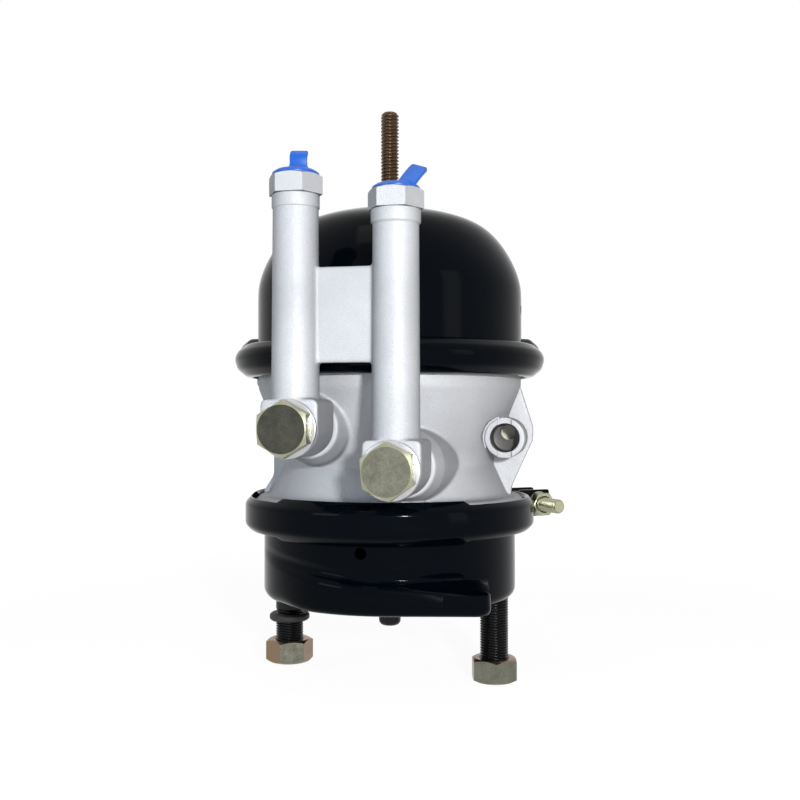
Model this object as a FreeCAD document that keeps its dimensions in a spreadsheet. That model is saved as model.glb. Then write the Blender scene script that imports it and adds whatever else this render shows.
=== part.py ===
import FreeCAD, Part
import math
import os
from types import SimpleNamespace

import Sketcher

# Spring brake chamber for a disc brake: two diaphragm stages on one axis.
# Millimetres. The origin is the centre of the mounting face, +Z runs up the chamber axis
# to the release bolt, the two studs stand on X and the air pipes are on the -Y side.

doc = FreeCAD.newDocument("BrakeChamber")

DRIVING_SIZES = {
    "service housing": {
        "shell_radius": 72.0,
        "shell_wall": 3.0,
        "floor_thickness": 3.5,
        "shell_corner_round": 11.0,
        "rod_hole_radius": 19.0,
        "housing_rim_z": 46.5,
        "flare_start_z": 36.0,
        "shell_vent_radius": 3.3,
        "shell_vent_z": 32.0,
        "shell_vent_angle": -0.4,
        "ledge_height": 14.0,
        "ledge_angle": 11.0,
        "ledge_reach": 74.5,
        "ledge_corner_x": 51.0,
        "ledge_back_y": 30.0,
        "ledge_corner_round": 6.0,
        "cam_radius": 72.6,
        "cam_offset": 2.2,
        "stud_seat_radius": 11.5,
        "stud_seat_height": 7.0,
        "stud_hole_clearance": 0.25,
    },
    "clamped rims": {
        "rim_radius": 80.0,
        "rim_edge_height": 2.0,
        "lip_rise": 5.5,
        "lip_reach": 6.0,
        "diaphragm_thickness": 3.2,
        "diaphragm_bend": 1.9,
    },
    "clamp band": {
        "band_clearance": 0.3,
        "band_wall": 2.4,
        "lip_edge": 1.7,
        "band_shoulder": 1.4,
        "wide_lip_extra": 2.2,
        "wide_lip_start": -36.0,
        "wide_lip_end": 42.0,
        "clamp_angle": 125.0,
        "band_gap": 14.0,
        "lug_height": 13.0,
        "lug_thickness": 4.0,
        "lug_length": 20.0,
        "clamp_bolt_radius": 4.8,
        "clamp_bolt_offset": 93.5,
        "clamp_bolt_tail": 26.0,
        "clamp_hex_flats": 15.0,
        "clamp_hex_height": 7.0,
        "clamp_flange_radius": 9.0,
        "clamp_flange_height": 1.6,
        "clamp_hole_clearance": 0.2,
    },
    "flange housing": {
        "waist_radius": 59.6,
        "waist_z": 78.0,
        "waist_height": 4.0,
        "foot_radius": 68.5,
        "bowl_radius": 75.4,
        "bowl_z": 117.5,
        "casting_wall": 4.5,
        "divider_low_z": 74.5,
        "divider_thickness": 8.0,
        "divider_bowl_radius": 51.0,
        "hub_radius": 22.0,
        "hub_rise": 6.0,
        "upper_rim_radius": 84.0,
        "upper_rim_low_z": 127.0,
        "upper_rim_thickness": 6.7,
        "rib_thickness": 5.0,
        "right_rib_apex_x": 82.7,
        "right_rib_apex_z": 92.5,
        "left_rib_x": 69.5,
        "left_rib_low_z": 69.0,
        "left_rib_high_z": 76.5,
        "right_rib_foot_x": 69.0,
        "vent_boss_x": 68.5,
        "vent_boss_z": 90.0,
        "vent_boss_radius": 10.9,
        "vent_boss_face_y": 23.0,
        "vent_bore_radius": 8.0,
        "vent_bore_depth": 14.0,
        "vent_slot_width": 5.0,
        "vent_slot_depth": 2.4,
        "vent_passage_radius": 3.0,
    },
    "spring housing": {
        "dome_radius": 75.8,
        "dome_wall": 3.0,
        "dome_rim_radius": 83.7,
        "shoulder_z": 183.0,
        "shoulder_top_radius": 57.5,
        "shoulder_top_z": 212.5,
        "crown_radius": 22.0,
        "crown_z": 223.0,
        "shoulder_round": 16.0,
        "crown_round": 11.0,
        "shoulder_bias": 0.3,
        "crown_bias": 0.85,
        "dome_vent_radius": 2.8,
        "dome_vent_z": 162.0,
    },
    "crimp ring": {
        "crimp_radius": 88.9,
        "crimp_low_z": 123.3,
        "crimp_high_z": 147.4,
        "crimp_lip": 3.4,
        "crimp_clearance": 0.3,
        "crimp_shoulder": 4.6,
        "crimp_slope": 1.7,
        "crimp_foot_radius": 78.5,
    },
    "air pipes": {
        "left_port_x": -26.5,
        "right_port_x": 23.9,
        "pipe_y": 97.6,
        "pipe_radius": 11.2,
        "left_block_z": 96.0,
        "right_block_z": 76.6,
        "block_half_width": 14.6,
        "block_front": 12.2,
        "block_back": 19.6,
        "left_top_z": 219.9,
        "right_top_z": 210.9,
        "port_hex_flats": 24.0,
        "port_hex_height": 9.5,
        "collar_radius": 11.9,
        "collar_height": 8.0,
        "web_low_z": 128.0,
        "web_high_z": 174.5,
        "web_thickness": 6.0,
        "base_radius": 18.5,
        "base_height": 14.0,
        "port_thread_radius": 7.2,
        "port_mouth_radius": 8.4,
        "port_mouth_depth": 5.0,
        "port_thread_depth": 15.0,
        "pipe_bore_radius": 5.0,
    },
    "banjo bolts": {
        "banjo_flats": 24.0,
        "banjo_head_height": 9.5,
        "banjo_chamfer": 1.6,
        "banjo_head_turn": 22.0,
        "banjo_shank_radius": 8.0,
        "banjo_washer_radius": 14.4,
        "banjo_washer_height": 2.0,
        "banjo_hole_clearance": 0.3,
        "banjo_thread_length": 9.0,
        "base_seal_height": 2.0,
        "base_seal_radius": 11.5,
    },
    "port caps": {
        "cap_flange_radius": 11.6,
        "cap_flange_height": 1.8,
        "cap_plug_radius": 8.0,
        "cap_plug_depth": 4.5,
        "cap_plug_wall": 1.4,
        "cap_tab_width": 8.8,
        "cap_tab_height": 10.0,
        "cap_tab_thickness": 2.2,
        "left_tab_lean": 8.0,
        "left_tab_turn": 11.0,
        "right_tab_lean": 52.0,
        "right_tab_turn": 75.0,
    },
    "studs": {
        "stud_half_spacing": 60.325,
        "stud_radius": 8.0,
        "stud_length": 40.5,
        "stud_tip_chamfer": 1.5,
        "stud_head_inward": 9.0,
        "stud_head_wall_gap": 3.175,
        "stud_head_half_width": 10.0,
        "stud_head_height": 5.0,
        "nut_flats": 24.0,
        "nut_height": 13.0,
        "left_nut_z": 42.0,
        "right_nut_z": 47.5,
        "nut_chamfer": 1.3,
        "left_nut_turn": 21.6,
        "right_nut_turn": -15.9,
        "stud_ring_z": 16.0,
        "stud_ring_section": 2.4,
        "stud_ring_bulge": 1.2,
        "stud_ring_round": 1.2,
    },
    "release bolt": {
        "release_radius": 5.2,
        "release_top_z": 278.1,
        "release_tip_chamfer": 1.6,
        "release_head_length": 26.0,
        "release_head_width": 10.0,
        "release_head_height": 7.0,
        "release_hole_clearance": 0.7,
        "release_washer_radius": 13.0,
        "release_washer_height": 2.6,
        "release_nut_flats": 17.0,
        "release_nut_height": 9.0,
        "release_thread_clearance": 0.06,
    },
    "spring stage": {
        "stage_plate_radius": 53.0,
        "stage_plate_thickness": 8.0,
        "stage_plate_rise": 16.6,
        "stage_hub_radius": 19.0,
        "stage_hub_height": 12.0,
        "stage_lip_height": 4.0,
        "stage_lip_width": 3.0,
        "plunger_plate_radius": 48.0,
        "plunger_plate_thickness": 5.0,
        "plunger_rod_radius": 12.0,
        "plunger_gap": 0.5,
        "guide_clearance": 0.05,
        "bush_wall": 2.5,
        "seal_groove_height": 4.6,
        "power_wire_radius": 6.0,
        "power_low_radius": 43.5,
        "power_turns": 3.2,
        "power_top_radius": 36.4,
        "seat_outer_radius": 40.0,
        "seat_inner_radius": 28.0,
        "seat_edge": 0.5,
        "lift_wire_radius": 2.0,
        "lift_low_radius": 27.0,
        "lift_top_radius": 45.5,
        "lift_turns": 4.5,
    },
    "service stage": {
        "service_plate_radius": 48.0,
        "service_plate_thickness": 4.0,
        "service_plate_top": 70.0,
        "diaphragm_shoulder": 4.0,
        "diaphragm_gap": 0.5,
        "push_rod_radius": 9.5,
        "push_tip_radius": 6.4,
        "push_tip_z": 18.8,
        "push_tip_length": 12.0,
        "push_tip_round": 3.5,
        "return_wire_radius": 2.2,
        "return_low_radius": 47.0,
        "return_top_radius": 23.5,
        "return_turns": 5.0,
        "boot_wall": 1.6,
        "boot_folds": 6.0,
        "boot_fold_depth": 6.0,
        "boot_fold_low": 0.2,
        "boot_fold_high": 0.7,
        "boot_ring_height": 3.0,
        "boot_ring_width": 4.0,
        "boot_top_z": 64.0,
        "boot_clearance": 0.35,
        "face_seal_radius": 27.0,
        "face_seal_section": 1.6,
        "face_seal_depth": 1.4,
        "face_seal_inset": 0.05,
    },
}


class Size:
    """A length that carries both its expression over the sheet and its value."""

    def __init__(self, text, number):
        self.text = text
        self.number = float(number)

    def joined(self, other, sign, number):
        return Size("(%s %s %s)" % (self.text, sign, other.text), number)

    def __add__(self, other):
        other = as_size(other)
        return self.joined(other, "+", self.number + other.number)

    def __sub__(self, other):
        other = as_size(other)
        return self.joined(other, "-", self.number - other.number)

    def __mul__(self, other):
        other = as_size(other)
        return self.joined(other, "*", self.number * other.number)

    def __truediv__(self, other):
        other = as_size(other)
        return self.joined(other, "/", self.number / other.number)

    def __neg__(self):
        return Size("(0 - %s)" % self.text, -self.number)

    def cosine(self):
        return Size("cos(%s * 1 deg)" % self.text, math.cos(math.radians(self.number)))

    def sine(self):
        return Size("sin(%s * 1 deg)" % self.text, math.sin(math.radians(self.number)))

    def tangent(self):
        return Size("tan(%s * 1 deg)" % self.text, math.tan(math.radians(self.number)))


def as_size(value):
    return value if isinstance(value, Size) else Size(repr(float(value)), value)


def write_sheet():
    sheet = doc.addObject("Spreadsheet::Sheet", "Sizes")
    aliases = []
    row = 1
    for group, sizes in DRIVING_SIZES.items():
        sheet.set("A%d" % row, group)
        row += 1
        for alias, value in sizes.items():
            sheet.set("A%d" % row, alias.replace("_", " "))
            sheet.set("B%d" % row, str(value))
            sheet.setAlias("B%d" % row, alias)
            aliases.append(alias)
            row += 1
    doc.recompute()
    return SimpleNamespace(**{a: Size("Sizes.%s" % a, sheet.get(a)) for a in aliases})


v = write_sheet()
ZERO = as_size(0)
PARTS = []
COIL_STEPS_PER_TURN = 16
COIL_SIDES = 8
ORIGIN_PLANES = {"XY": "XY_Plane", "XZ": "XZ_Plane", "YZ": "YZ_Plane"}


def keep(thing, label):
    """Names a finished sub-part and lists it for export."""
    thing.Label = label
    thing.Placement = FreeCAD.Placement()
    PARTS.append((label, [thing]))
    return thing


def new_body(label):
    body = doc.addObject("PartDesign::Body", label)
    return keep(body, label)


def new_sketch(body, name, plane, lift=ZERO, turn=ZERO):
    """A sketch on one of the body's origin planes, moved along its normal and turned about Z."""
    sketch = body.newObject("Sketcher::SketchObject", name)
    role = ORIGIN_PLANES[plane]
    support = [f for f in body.Origin.OriginFeatures if f.Role == role][0]
    sketch.AttachmentSupport = [(support, "")]
    sketch.MapMode = "FlatFace"
    spin_axis = FreeCAD.Vector(0, 0, 1) if plane == "XY" else FreeCAD.Vector(0, 1, 0)
    sketch.AttachmentOffset = FreeCAD.Placement(
        FreeCAD.Vector(0, 0, lift.number), FreeCAD.Rotation(spin_axis, turn.number)
    )
    if lift is not ZERO:
        if plane == "XZ" and turn is not ZERO:
            sketch.setExpression("AttachmentOffset.Base.x", (lift * turn.sine()).text)
            sketch.setExpression("AttachmentOffset.Base.z", (lift * turn.cosine()).text)
        else:
            sketch.setExpression("AttachmentOffset.Base.z", lift.text)
    if turn is not ZERO:
        sketch.setExpression("AttachmentOffset.Rotation.Angle", turn.text)
    return sketch


def pin_point(sketch, index, end, across, up):
    """Binds one end of a line, or a circle's centre, to its two distances from the origin."""
    for kind, size, axis in (("DistanceX", across, -2), ("DistanceY", up, -1)):
        if size.text == ZERO.text:
            sketch.addConstraint(Sketcher.Constraint("PointOnObject", index, end, axis))
            continue
        number = sketch.addConstraint(
            Sketcher.Constraint(kind, -1, 1, index, end, size.number)
        )
        sketch.setExpression("Constraints[%d]" % number, size.text)


def draw_outline(sketch, corners):
    """A closed outline of straight runs, each corner bound to the sheet."""
    corners = [(as_size(across), as_size(up)) for across, up in corners]
    ends = [FreeCAD.Vector(across.number, up.number, 0) for across, up in corners]
    first = sketch.GeometryCount
    count = len(ends)
    for start, end in zip(ends, ends[1:] + ends[:1]):
        sketch.addGeometry(Part.LineSegment(start, end))
    for step in range(count):
        here = first + step
        following = first + (step + 1) % count
        sketch.addConstraint(Sketcher.Constraint("Coincident", here, 2, following, 1))
    for step, (across, up) in enumerate(corners):
        pin_point(sketch, first + step, 1, across, up)


def draw_circle(sketch, across, up, radius):
    across, up = as_size(across), as_size(up)
    centre = FreeCAD.Vector(across.number, up.number, 0)
    index = sketch.addGeometry(
        Part.Circle(centre, FreeCAD.Vector(0, 0, 1), radius.number)
    )
    pin_point(sketch, index, 3, across, up)
    number = sketch.addConstraint(Sketcher.Constraint("Radius", index, radius.number))
    sketch.setExpression("Constraints[%d]" % number, radius.text)


def hexagon(across, up, flats, turn):
    """The corners of a hexagon of that width across flats, turned by an angle in degrees."""
    corner_radius = flats / 2 / as_size(30).cosine()
    corners = []
    for step in range(6):
        angle = turn + 60 * step
        corners.append(
            (across + corner_radius * angle.cosine(), up + corner_radius * angle.sine())
        )
    return corners


def revolve(body, name, corners, cut=False, start=ZERO, sweep=None):
    """Turns an outline of (radius, height) corners about Z, all round or through a sector."""
    sketch = new_sketch(body, name + "Profile", "XZ", turn=start)
    draw_outline(sketch, corners)
    kind = "PartDesign::Groove" if cut else "PartDesign::Revolution"
    feature = body.newObject(kind, name)
    feature.Profile = sketch
    feature.ReferenceAxis = (sketch, ["V_Axis"])
    feature.Angle = 360 if sweep is None else sweep.number
    if sweep is not None:
        feature.setExpression("Angle", sweep.text)
    return feature


def push(body, name, sketch, length, cut=False, reverse=False, midplane=False):
    """Pads a sketch along its normal, or pockets against it."""
    kind = "PartDesign::Pocket" if cut else "PartDesign::Pad"
    feature = body.newObject(kind, name)
    feature.Profile = sketch
    feature.Type = 0
    feature.Length = length.number
    feature.setExpression("Length", length.text)
    feature.Reversed = reverse
    feature.Midplane = midplane
    return feature


def disc(body, name, across, up, radius, low, high, cut=False):
    """A vertical round pad or pocket from one height to another."""
    sketch = new_sketch(body, name + "Circle", "XY", lift=low)
    draw_circle(sketch, across, up, radius)
    return push(body, name, sketch, high - low, cut=cut, reverse=cut)


def barrel(body, name, across, up, radius, front, depth, cut=False):
    """A round pad or pocket along Y, from a plane at distance front before the axis, backwards."""
    sketch = new_sketch(body, name + "Circle", "XZ", lift=front)
    draw_circle(sketch, across, up, radius)
    return push(body, name, sketch, depth, cut=cut, reverse=not cut)


def circle_edges(shape, spots):
    """Names of the edges that are full circles about Z at the given radii and heights."""
    names = []
    for number, edge in enumerate(shape.Edges, 1):
        curve = edge.Curve
        if not isinstance(curve, Part.Circle) or abs(curve.Axis.z) < 0.999:
            continue
        for radius, height in spots:
            near = abs(curve.Radius - radius.number) < 0.01
            level = abs(curve.Center.z - height.number) < 0.01
            on_axis = math.hypot(curve.Center.x, curve.Center.y) < 0.01
            if near and level and on_axis:
                names.append("Edge%d" % number)
    return names


def round_rings(body, name, spots, radius):
    """Rounds the ring edges at the given (radius, height) spots."""
    doc.recompute()
    base = body.Tip
    edges = circle_edges(base.Shape, [(as_size(r), as_size(z)) for r, z in spots])
    if not edges:
        raise RuntimeError("no ring edge found for " + name)
    fillet = body.newObject("PartDesign::Fillet", name)
    fillet.Base = (base, edges)
    fillet.Radius = radius.number
    fillet.setExpression("Radius", radius.text)
    return fillet


def chamfer_hexagon(body, name, flats, top, bottom, depth):
    """Turns the corners of a hexagon on the Z axis down at its ends, as a lathe does."""
    corner = flats / 2 / as_size(30).cosine()
    outer = corner + depth
    inner = flats / 2
    drop = (outer - inner) * as_size(30).tangent()
    for side, height, sign in (("Top", top, -1), ("Bottom", bottom, 1)):
        if height is None:
            continue
        sketch = new_sketch(body, name + side + "Profile", "XZ")
        draw_outline(
            sketch,
            [
                (inner, height),
                (outer, height),
                (outer, height + drop * sign),
            ],
        )
        groove = body.newObject("PartDesign::Groove", name + side)
        groove.Profile = sketch
        groove.ReferenceAxis = (sketch, ["V_Axis"])
        groove.Angle = 360


def group(label, things):
    """Several like bodies that share one node as separate solids."""
    PARTS[:] = [entry for entry in PARTS if entry[1][0] not in things]
    PARTS.append((label, things))


# Heights that follow from the driving sizes, from the mounting face up.

rim_low = v.housing_rim_z - v.rim_edge_height - v.shell_wall / 2
casting_low = v.housing_rim_z + v.diaphragm_thickness
casting_edge = casting_low + v.rim_edge_height
upper_rim_top = v.upper_rim_low_z + v.upper_rim_thickness
dome_low = upper_rim_top + v.diaphragm_thickness
divider_high = v.divider_low_z + v.divider_thickness
stage_face = upper_rim_top + v.stage_plate_rise
plate_top = stage_face + v.diaphragm_thickness
spring_low = plate_top + v.stage_plate_thickness
dome_ceiling = v.crown_z - v.dome_wall
service_face = v.service_plate_top + v.diaphragm_thickness
crown_inner_radius = v.crown_radius - v.dome_wall * v.shoulder_bias
shoulder_inner_radius = v.shoulder_top_radius - v.dome_wall * v.crown_bias
shoulder_inner_z = v.shoulder_top_z - v.dome_wall * v.crown_bias


def under_crown(radius):
    """Height of the dome's inner face at a radius on the crown's slope."""
    slope = (dome_ceiling - shoulder_inner_z) / (shoulder_inner_radius - crown_inner_radius)
    return dome_ceiling - (radius - crown_inner_radius) * slope


seat_low = under_crown(v.seat_outer_radius) - v.seat_edge


def make_service_housing():
    body = new_body("service_housing")
    flare_edge = rim_low
    revolve(
        body,
        "Shell",
        [
            (ZERO, ZERO),
            (v.shell_radius, ZERO),
            (v.shell_radius, v.flare_start_z),
            (v.rim_radius - v.lip_reach, flare_edge - v.lip_rise),
            (v.rim_radius, flare_edge),
            (v.rim_radius, v.housing_rim_z),
            (ZERO, v.housing_rim_z),
        ],
    )
    round_rings(body, "ShellCorner", [(v.shell_radius, ZERO)], v.shell_corner_round)
    # The pressed ledge: an eccentric cam that runs out into a flat front with a right corner.
    cam = new_sketch(body, "CamCircle", "XY", turn=v.ledge_angle)
    draw_circle(cam, ZERO, -v.cam_offset, v.cam_radius)
    push(body, "Cam", cam, v.ledge_height)
    ledge = new_sketch(body, "LedgeOutline", "XY", turn=v.ledge_angle)
    draw_outline(
        ledge,
        [
            (ZERO, -v.ledge_reach),
            (v.ledge_corner_x, -v.ledge_reach),
            (v.ledge_corner_x, -v.ledge_back_y),
            (ZERO, -v.ledge_back_y),
        ],
    )
    push(body, "Ledge", ledge, v.ledge_height)
    doc.recompute()
    corner = FreeCAD.Vector(v.ledge_corner_x.number, -v.ledge_reach.number, 0)
    corner = FreeCAD.Rotation(FreeCAD.Vector(0, 0, 1), v.ledge_angle.number).multVec(corner)
    upright = []
    for number, edge in enumerate(body.Tip.Shape.Edges, 1):
        ends = [vertex.Point for vertex in edge.Vertexes]
        flat = all(math.hypot(p.x - corner.x, p.y - corner.y) < 0.01 for p in ends)
        if len(ends) == 2 and flat:
            upright.append("Edge%d" % number)
    ledge_feature = body.Tip
    rounding = body.newObject("PartDesign::Fillet", "LedgeCornerRound")
    rounding.Base = (ledge_feature, upright)
    rounding.setExpression("Radius", v.ledge_corner_round.text)
    # The hollow of the shell, open at the top, and the push rod's hole in the floor.
    inner = v.shell_radius - v.shell_wall
    revolve(
        body,
        "Hollow",
        [
            (ZERO, v.floor_thickness),
            (inner, v.floor_thickness),
            (inner, v.housing_rim_z),
            (ZERO, v.housing_rim_z),
        ],
        cut=True,
    )
    round_rings(
        body,
        "HollowCorner",
        [(inner, v.floor_thickness)],
        v.shell_corner_round - v.shell_wall,
    )
    disc(body, "RodHole", ZERO, ZERO, v.rod_hole_radius, ZERO, v.floor_thickness, cut=True)
    revolve(
        body,
        "SealGroove",
        [
            (v.face_seal_radius - v.face_seal_section, ZERO),
            (v.face_seal_radius + v.face_seal_section, ZERO),
            (v.face_seal_radius + v.face_seal_section, v.face_seal_depth),
            (v.face_seal_radius - v.face_seal_section, v.face_seal_depth),
        ],
        cut=True,
    )
    for side, sign in (("Left", -1), ("Right", 1)):
        across = v.stud_half_spacing * sign
        disc(body, side + "StudSeat", across, ZERO, v.stud_seat_radius, ZERO, v.stud_seat_height)
        hole_radius = v.stud_radius + v.stud_hole_clearance
        disc(
            body, side + "StudHole", across, ZERO, hole_radius, ZERO, v.stud_seat_height, cut=True
        )
    vent = new_sketch(body, "VentCircle", "XZ", turn=v.shell_vent_angle)
    draw_circle(vent, ZERO, v.shell_vent_z, v.shell_vent_radius)
    push(body, "Vent", vent, v.rim_radius, cut=True, reverse=True)
    return body


def make_flange_housing():
    body = new_body("flange_housing")
    waist_low = v.waist_z - v.waist_height / 2
    waist_high = v.waist_z + v.waist_height / 2
    revolve(
        body,
        "Casting",
        [
            (ZERO, casting_low),
            (v.rim_radius, casting_low),
            (v.rim_radius, casting_edge),
            (v.rim_radius - v.lip_reach, casting_edge + v.lip_rise),
            (v.foot_radius, casting_edge + v.lip_rise),
            (v.waist_radius, waist_low),
            (v.waist_radius, waist_high),
            (v.bowl_radius, v.bowl_z),
            (v.bowl_radius, v.upper_rim_low_z),
            (v.upper_rim_radius, v.upper_rim_low_z),
            (v.upper_rim_radius, upper_rim_top),
            (ZERO, upper_rim_top),
        ],
    )
    # Thin side ribs in the plane of the studs; the right one bulges out round the vent boss.
    ribs = new_sketch(body, "RibOutlines", "XZ")
    inside = v.waist_radius / 2
    draw_outline(
        ribs,
        [
            (v.bowl_radius, v.bowl_z),
            (v.right_rib_apex_x, v.right_rib_apex_z + v.rib_thickness / 2),
            (v.right_rib_apex_x, v.right_rib_apex_z - v.rib_thickness / 2),
            (v.right_rib_foot_x, casting_edge + v.lip_rise),
            (inside, casting_edge + v.lip_rise),
            (inside, v.bowl_z),
        ],
    )
    draw_outline(
        ribs,
        [
            (-v.bowl_radius, v.bowl_z),
            (-v.left_rib_x, v.left_rib_high_z),
            (-v.left_rib_x, v.left_rib_low_z),
            (-(v.rim_radius - v.lip_reach), casting_edge + v.lip_rise),
            (-inside, casting_edge + v.lip_rise),
            (-inside, v.bowl_z),
        ],
    )
    push(body, "Ribs", ribs, v.rib_thickness, midplane=True)
    barrel(
        body,
        "VentBoss",
        v.vent_boss_x,
        v.vent_boss_z,
        v.vent_boss_radius,
        v.vent_boss_face_y,
        v.vent_boss_face_y + v.rib_thickness / 2,
    )
    for side, across, up in (
        ("Left", v.left_port_x, v.left_block_z),
        ("Right", v.right_port_x, v.right_block_z),
    ):
        barrel(
            body,
            side + "PortBase",
            across,
            up,
            v.base_radius,
            v.pipe_y - v.block_back - v.base_seal_height,
            v.base_height * 2,
        )
    # Lower bowl for the service diaphragm and upper bowl for the spring diaphragm.
    lower_wall = v.foot_radius - v.casting_wall
    revolve(
        body,
        "LowerBowl",
        [
            (ZERO, casting_low),
            (lower_wall, casting_low),
            (lower_wall, casting_low + v.rim_edge_height),
            (v.waist_radius - v.casting_wall, v.divider_low_z),
            (ZERO, v.divider_low_z),
        ],
        cut=True,
    )
    revolve(
        body,
        "UpperBowl",
        [
            (ZERO, divider_high),
            (v.divider_bowl_radius, divider_high),
            (v.bowl_radius - v.casting_wall, v.bowl_z),
            (v.bowl_radius - v.casting_wall, upper_rim_top),
            (ZERO, upper_rim_top),
        ],
        cut=True,
    )
    # Central hub with the bore for the plunger's guide bush and two seal grooves.
    disc(
        body, "Hub", ZERO, ZERO, v.hub_radius, divider_high - v.divider_thickness / 2,
        divider_high + v.hub_rise,
    )
    bore = v.plunger_rod_radius + v.guide_clearance + v.bush_wall
    revolve(
        body,
        "HubBore",
        [
            (ZERO, v.divider_low_z),
            (bore, v.divider_low_z),
            (bore, divider_high + v.hub_rise),
            (ZERO, divider_high + v.hub_rise),
        ],
        cut=True,
    )
    # Banjo bolt holes and the vent's castellated mouth.
    for side, across, up in (
        ("Left", v.left_port_x, v.left_block_z),
        ("Right", v.right_port_x, v.right_block_z),
    ):
        face = v.pipe_y - v.block_back - v.base_seal_height
        barrel(
            body,
            side + "PortThread",
            across,
            up,
            v.banjo_shank_radius,
            face,
            v.banjo_thread_length,
            cut=True,
        )
    barrel(
        body,
        "VentBore",
        v.vent_boss_x,
        v.vent_boss_z,
        v.vent_bore_radius,
        v.vent_boss_face_y,
        v.vent_bore_depth,
        cut=True,
    )
    passage = new_sketch(body, "VentPassageCircle", "YZ", lift=v.vent_boss_x)
    passage_y = v.vent_bore_depth / 2 - v.vent_boss_face_y
    draw_circle(passage, passage_y, v.vent_boss_z, v.vent_passage_radius)
    push(body, "VentPassage", passage, v.vent_boss_x - v.divider_bowl_radius, cut=True)
    slot = new_sketch(body, "VentSlotOutline", "XZ", lift=v.vent_boss_face_y)
    half_slot = v.vent_slot_width / 2
    reach = v.vent_boss_radius + v.vent_slot_depth
    draw_outline(
        slot,
        [
            (v.vent_boss_x - half_slot, v.vent_boss_z - reach),
            (v.vent_boss_x + half_slot, v.vent_boss_z - reach),
            (v.vent_boss_x + half_slot, v.vent_boss_z + reach),
            (v.vent_boss_x - half_slot, v.vent_boss_z + reach),
        ],
    )
    push(body, "VentSlot", slot, v.vent_slot_depth, cut=True)
    return body


def make_spring_housing():
    body = new_body("spring_housing")
    wall = v.dome_wall
    hole = v.release_radius + v.release_hole_clearance
    revolve(
        body,
        "Dome",
        [
            (hole, v.crown_z),
            (v.crown_radius, v.crown_z),
            (v.shoulder_top_radius, v.shoulder_top_z),
            (v.dome_radius, v.shoulder_z),
            (v.dome_radius, dome_low + wall),
            (v.dome_rim_radius, dome_low + wall),
            (v.dome_rim_radius, dome_low),
            (v.dome_radius - wall, dome_low),
            (v.dome_radius - wall, v.shoulder_z - wall * v.shoulder_bias),
            (shoulder_inner_radius, shoulder_inner_z),
            (crown_inner_radius, dome_ceiling),
            (hole, dome_ceiling),
        ],
    )
    round_rings(
        body,
        "ShoulderRound",
        [
            (v.dome_radius, v.shoulder_z),
            (v.dome_radius - wall, v.shoulder_z - wall * v.shoulder_bias),
        ],
        v.shoulder_round,
    )
    round_rings(
        body,
        "CrownRound",
        [
            (v.shoulder_top_radius, v.shoulder_top_z),
            (shoulder_inner_radius, shoulder_inner_z),
        ],
        v.crown_round,
    )
    vent = new_sketch(body, "VentCircle", "YZ")
    draw_circle(vent, ZERO, v.dome_vent_z, v.dome_vent_radius)
    push(body, "Vent", vent, v.dome_rim_radius, cut=True, reverse=True)
    return body


def make_crimp_ring():
    """The ring rolled over the rims of the dome and the casting."""
    body = new_body("crimp_ring")
    low, high = v.crimp_low_z, v.crimp_high_z
    inner = v.upper_rim_radius + v.crimp_clearance
    slot_low = v.upper_rim_low_z - v.crimp_clearance
    slot_high = dome_low + v.dome_wall + v.crimp_clearance
    middle = (low + high) / 2
    bite = v.dome_radius + v.crimp_clearance
    revolve(
        body,
        "Ring",
        [
            (bite, high),
            (v.crimp_radius - v.crimp_shoulder, high - v.crimp_slope),
            (v.crimp_radius - v.crimp_slope, high - v.crimp_shoulder),
            (v.crimp_radius, middle),
            (v.crimp_radius - v.crimp_slope, low + v.crimp_shoulder),
            (v.crimp_radius - v.crimp_shoulder, low + v.crimp_slope),
            (v.crimp_foot_radius, low),
            (v.crimp_foot_radius, slot_low),
            (inner, slot_low),
            (inner, slot_high),
            (bite, slot_high),
        ],
    )
    round_rings(
        body,
        "RingRound",
        [
            (v.crimp_radius - v.crimp_shoulder, high - v.crimp_slope),
            (v.crimp_radius - v.crimp_slope, high - v.crimp_shoulder),
            (v.crimp_radius - v.crimp_slope, low + v.crimp_shoulder),
            (v.crimp_radius - v.crimp_shoulder, low + v.crimp_slope),
        ],
        v.crimp_lip,
    )
    return body


def band_section(extra):
    """The clamp band's channel: a wall with two lips that grip the sloped rims."""
    inner = v.rim_radius + v.band_clearance
    outer = inner + v.band_wall
    slope = v.lip_rise / v.lip_reach
    low_edge = rim_low - v.band_clearance
    high_edge = casting_edge + v.band_clearance
    lip_in = inner - v.lip_reach / 2 - extra
    rise = (inner - lip_in) * slope
    return [
        (lip_in, low_edge - rise),
        (inner, low_edge),
        (inner, high_edge),
        (lip_in, high_edge + rise),
        (lip_in + v.lip_edge, high_edge + rise + v.band_wall),
        (outer, high_edge + v.band_shoulder),
        (outer, low_edge - v.band_shoulder),
        (lip_in + v.lip_edge, low_edge - rise - v.band_wall),
    ]


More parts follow.
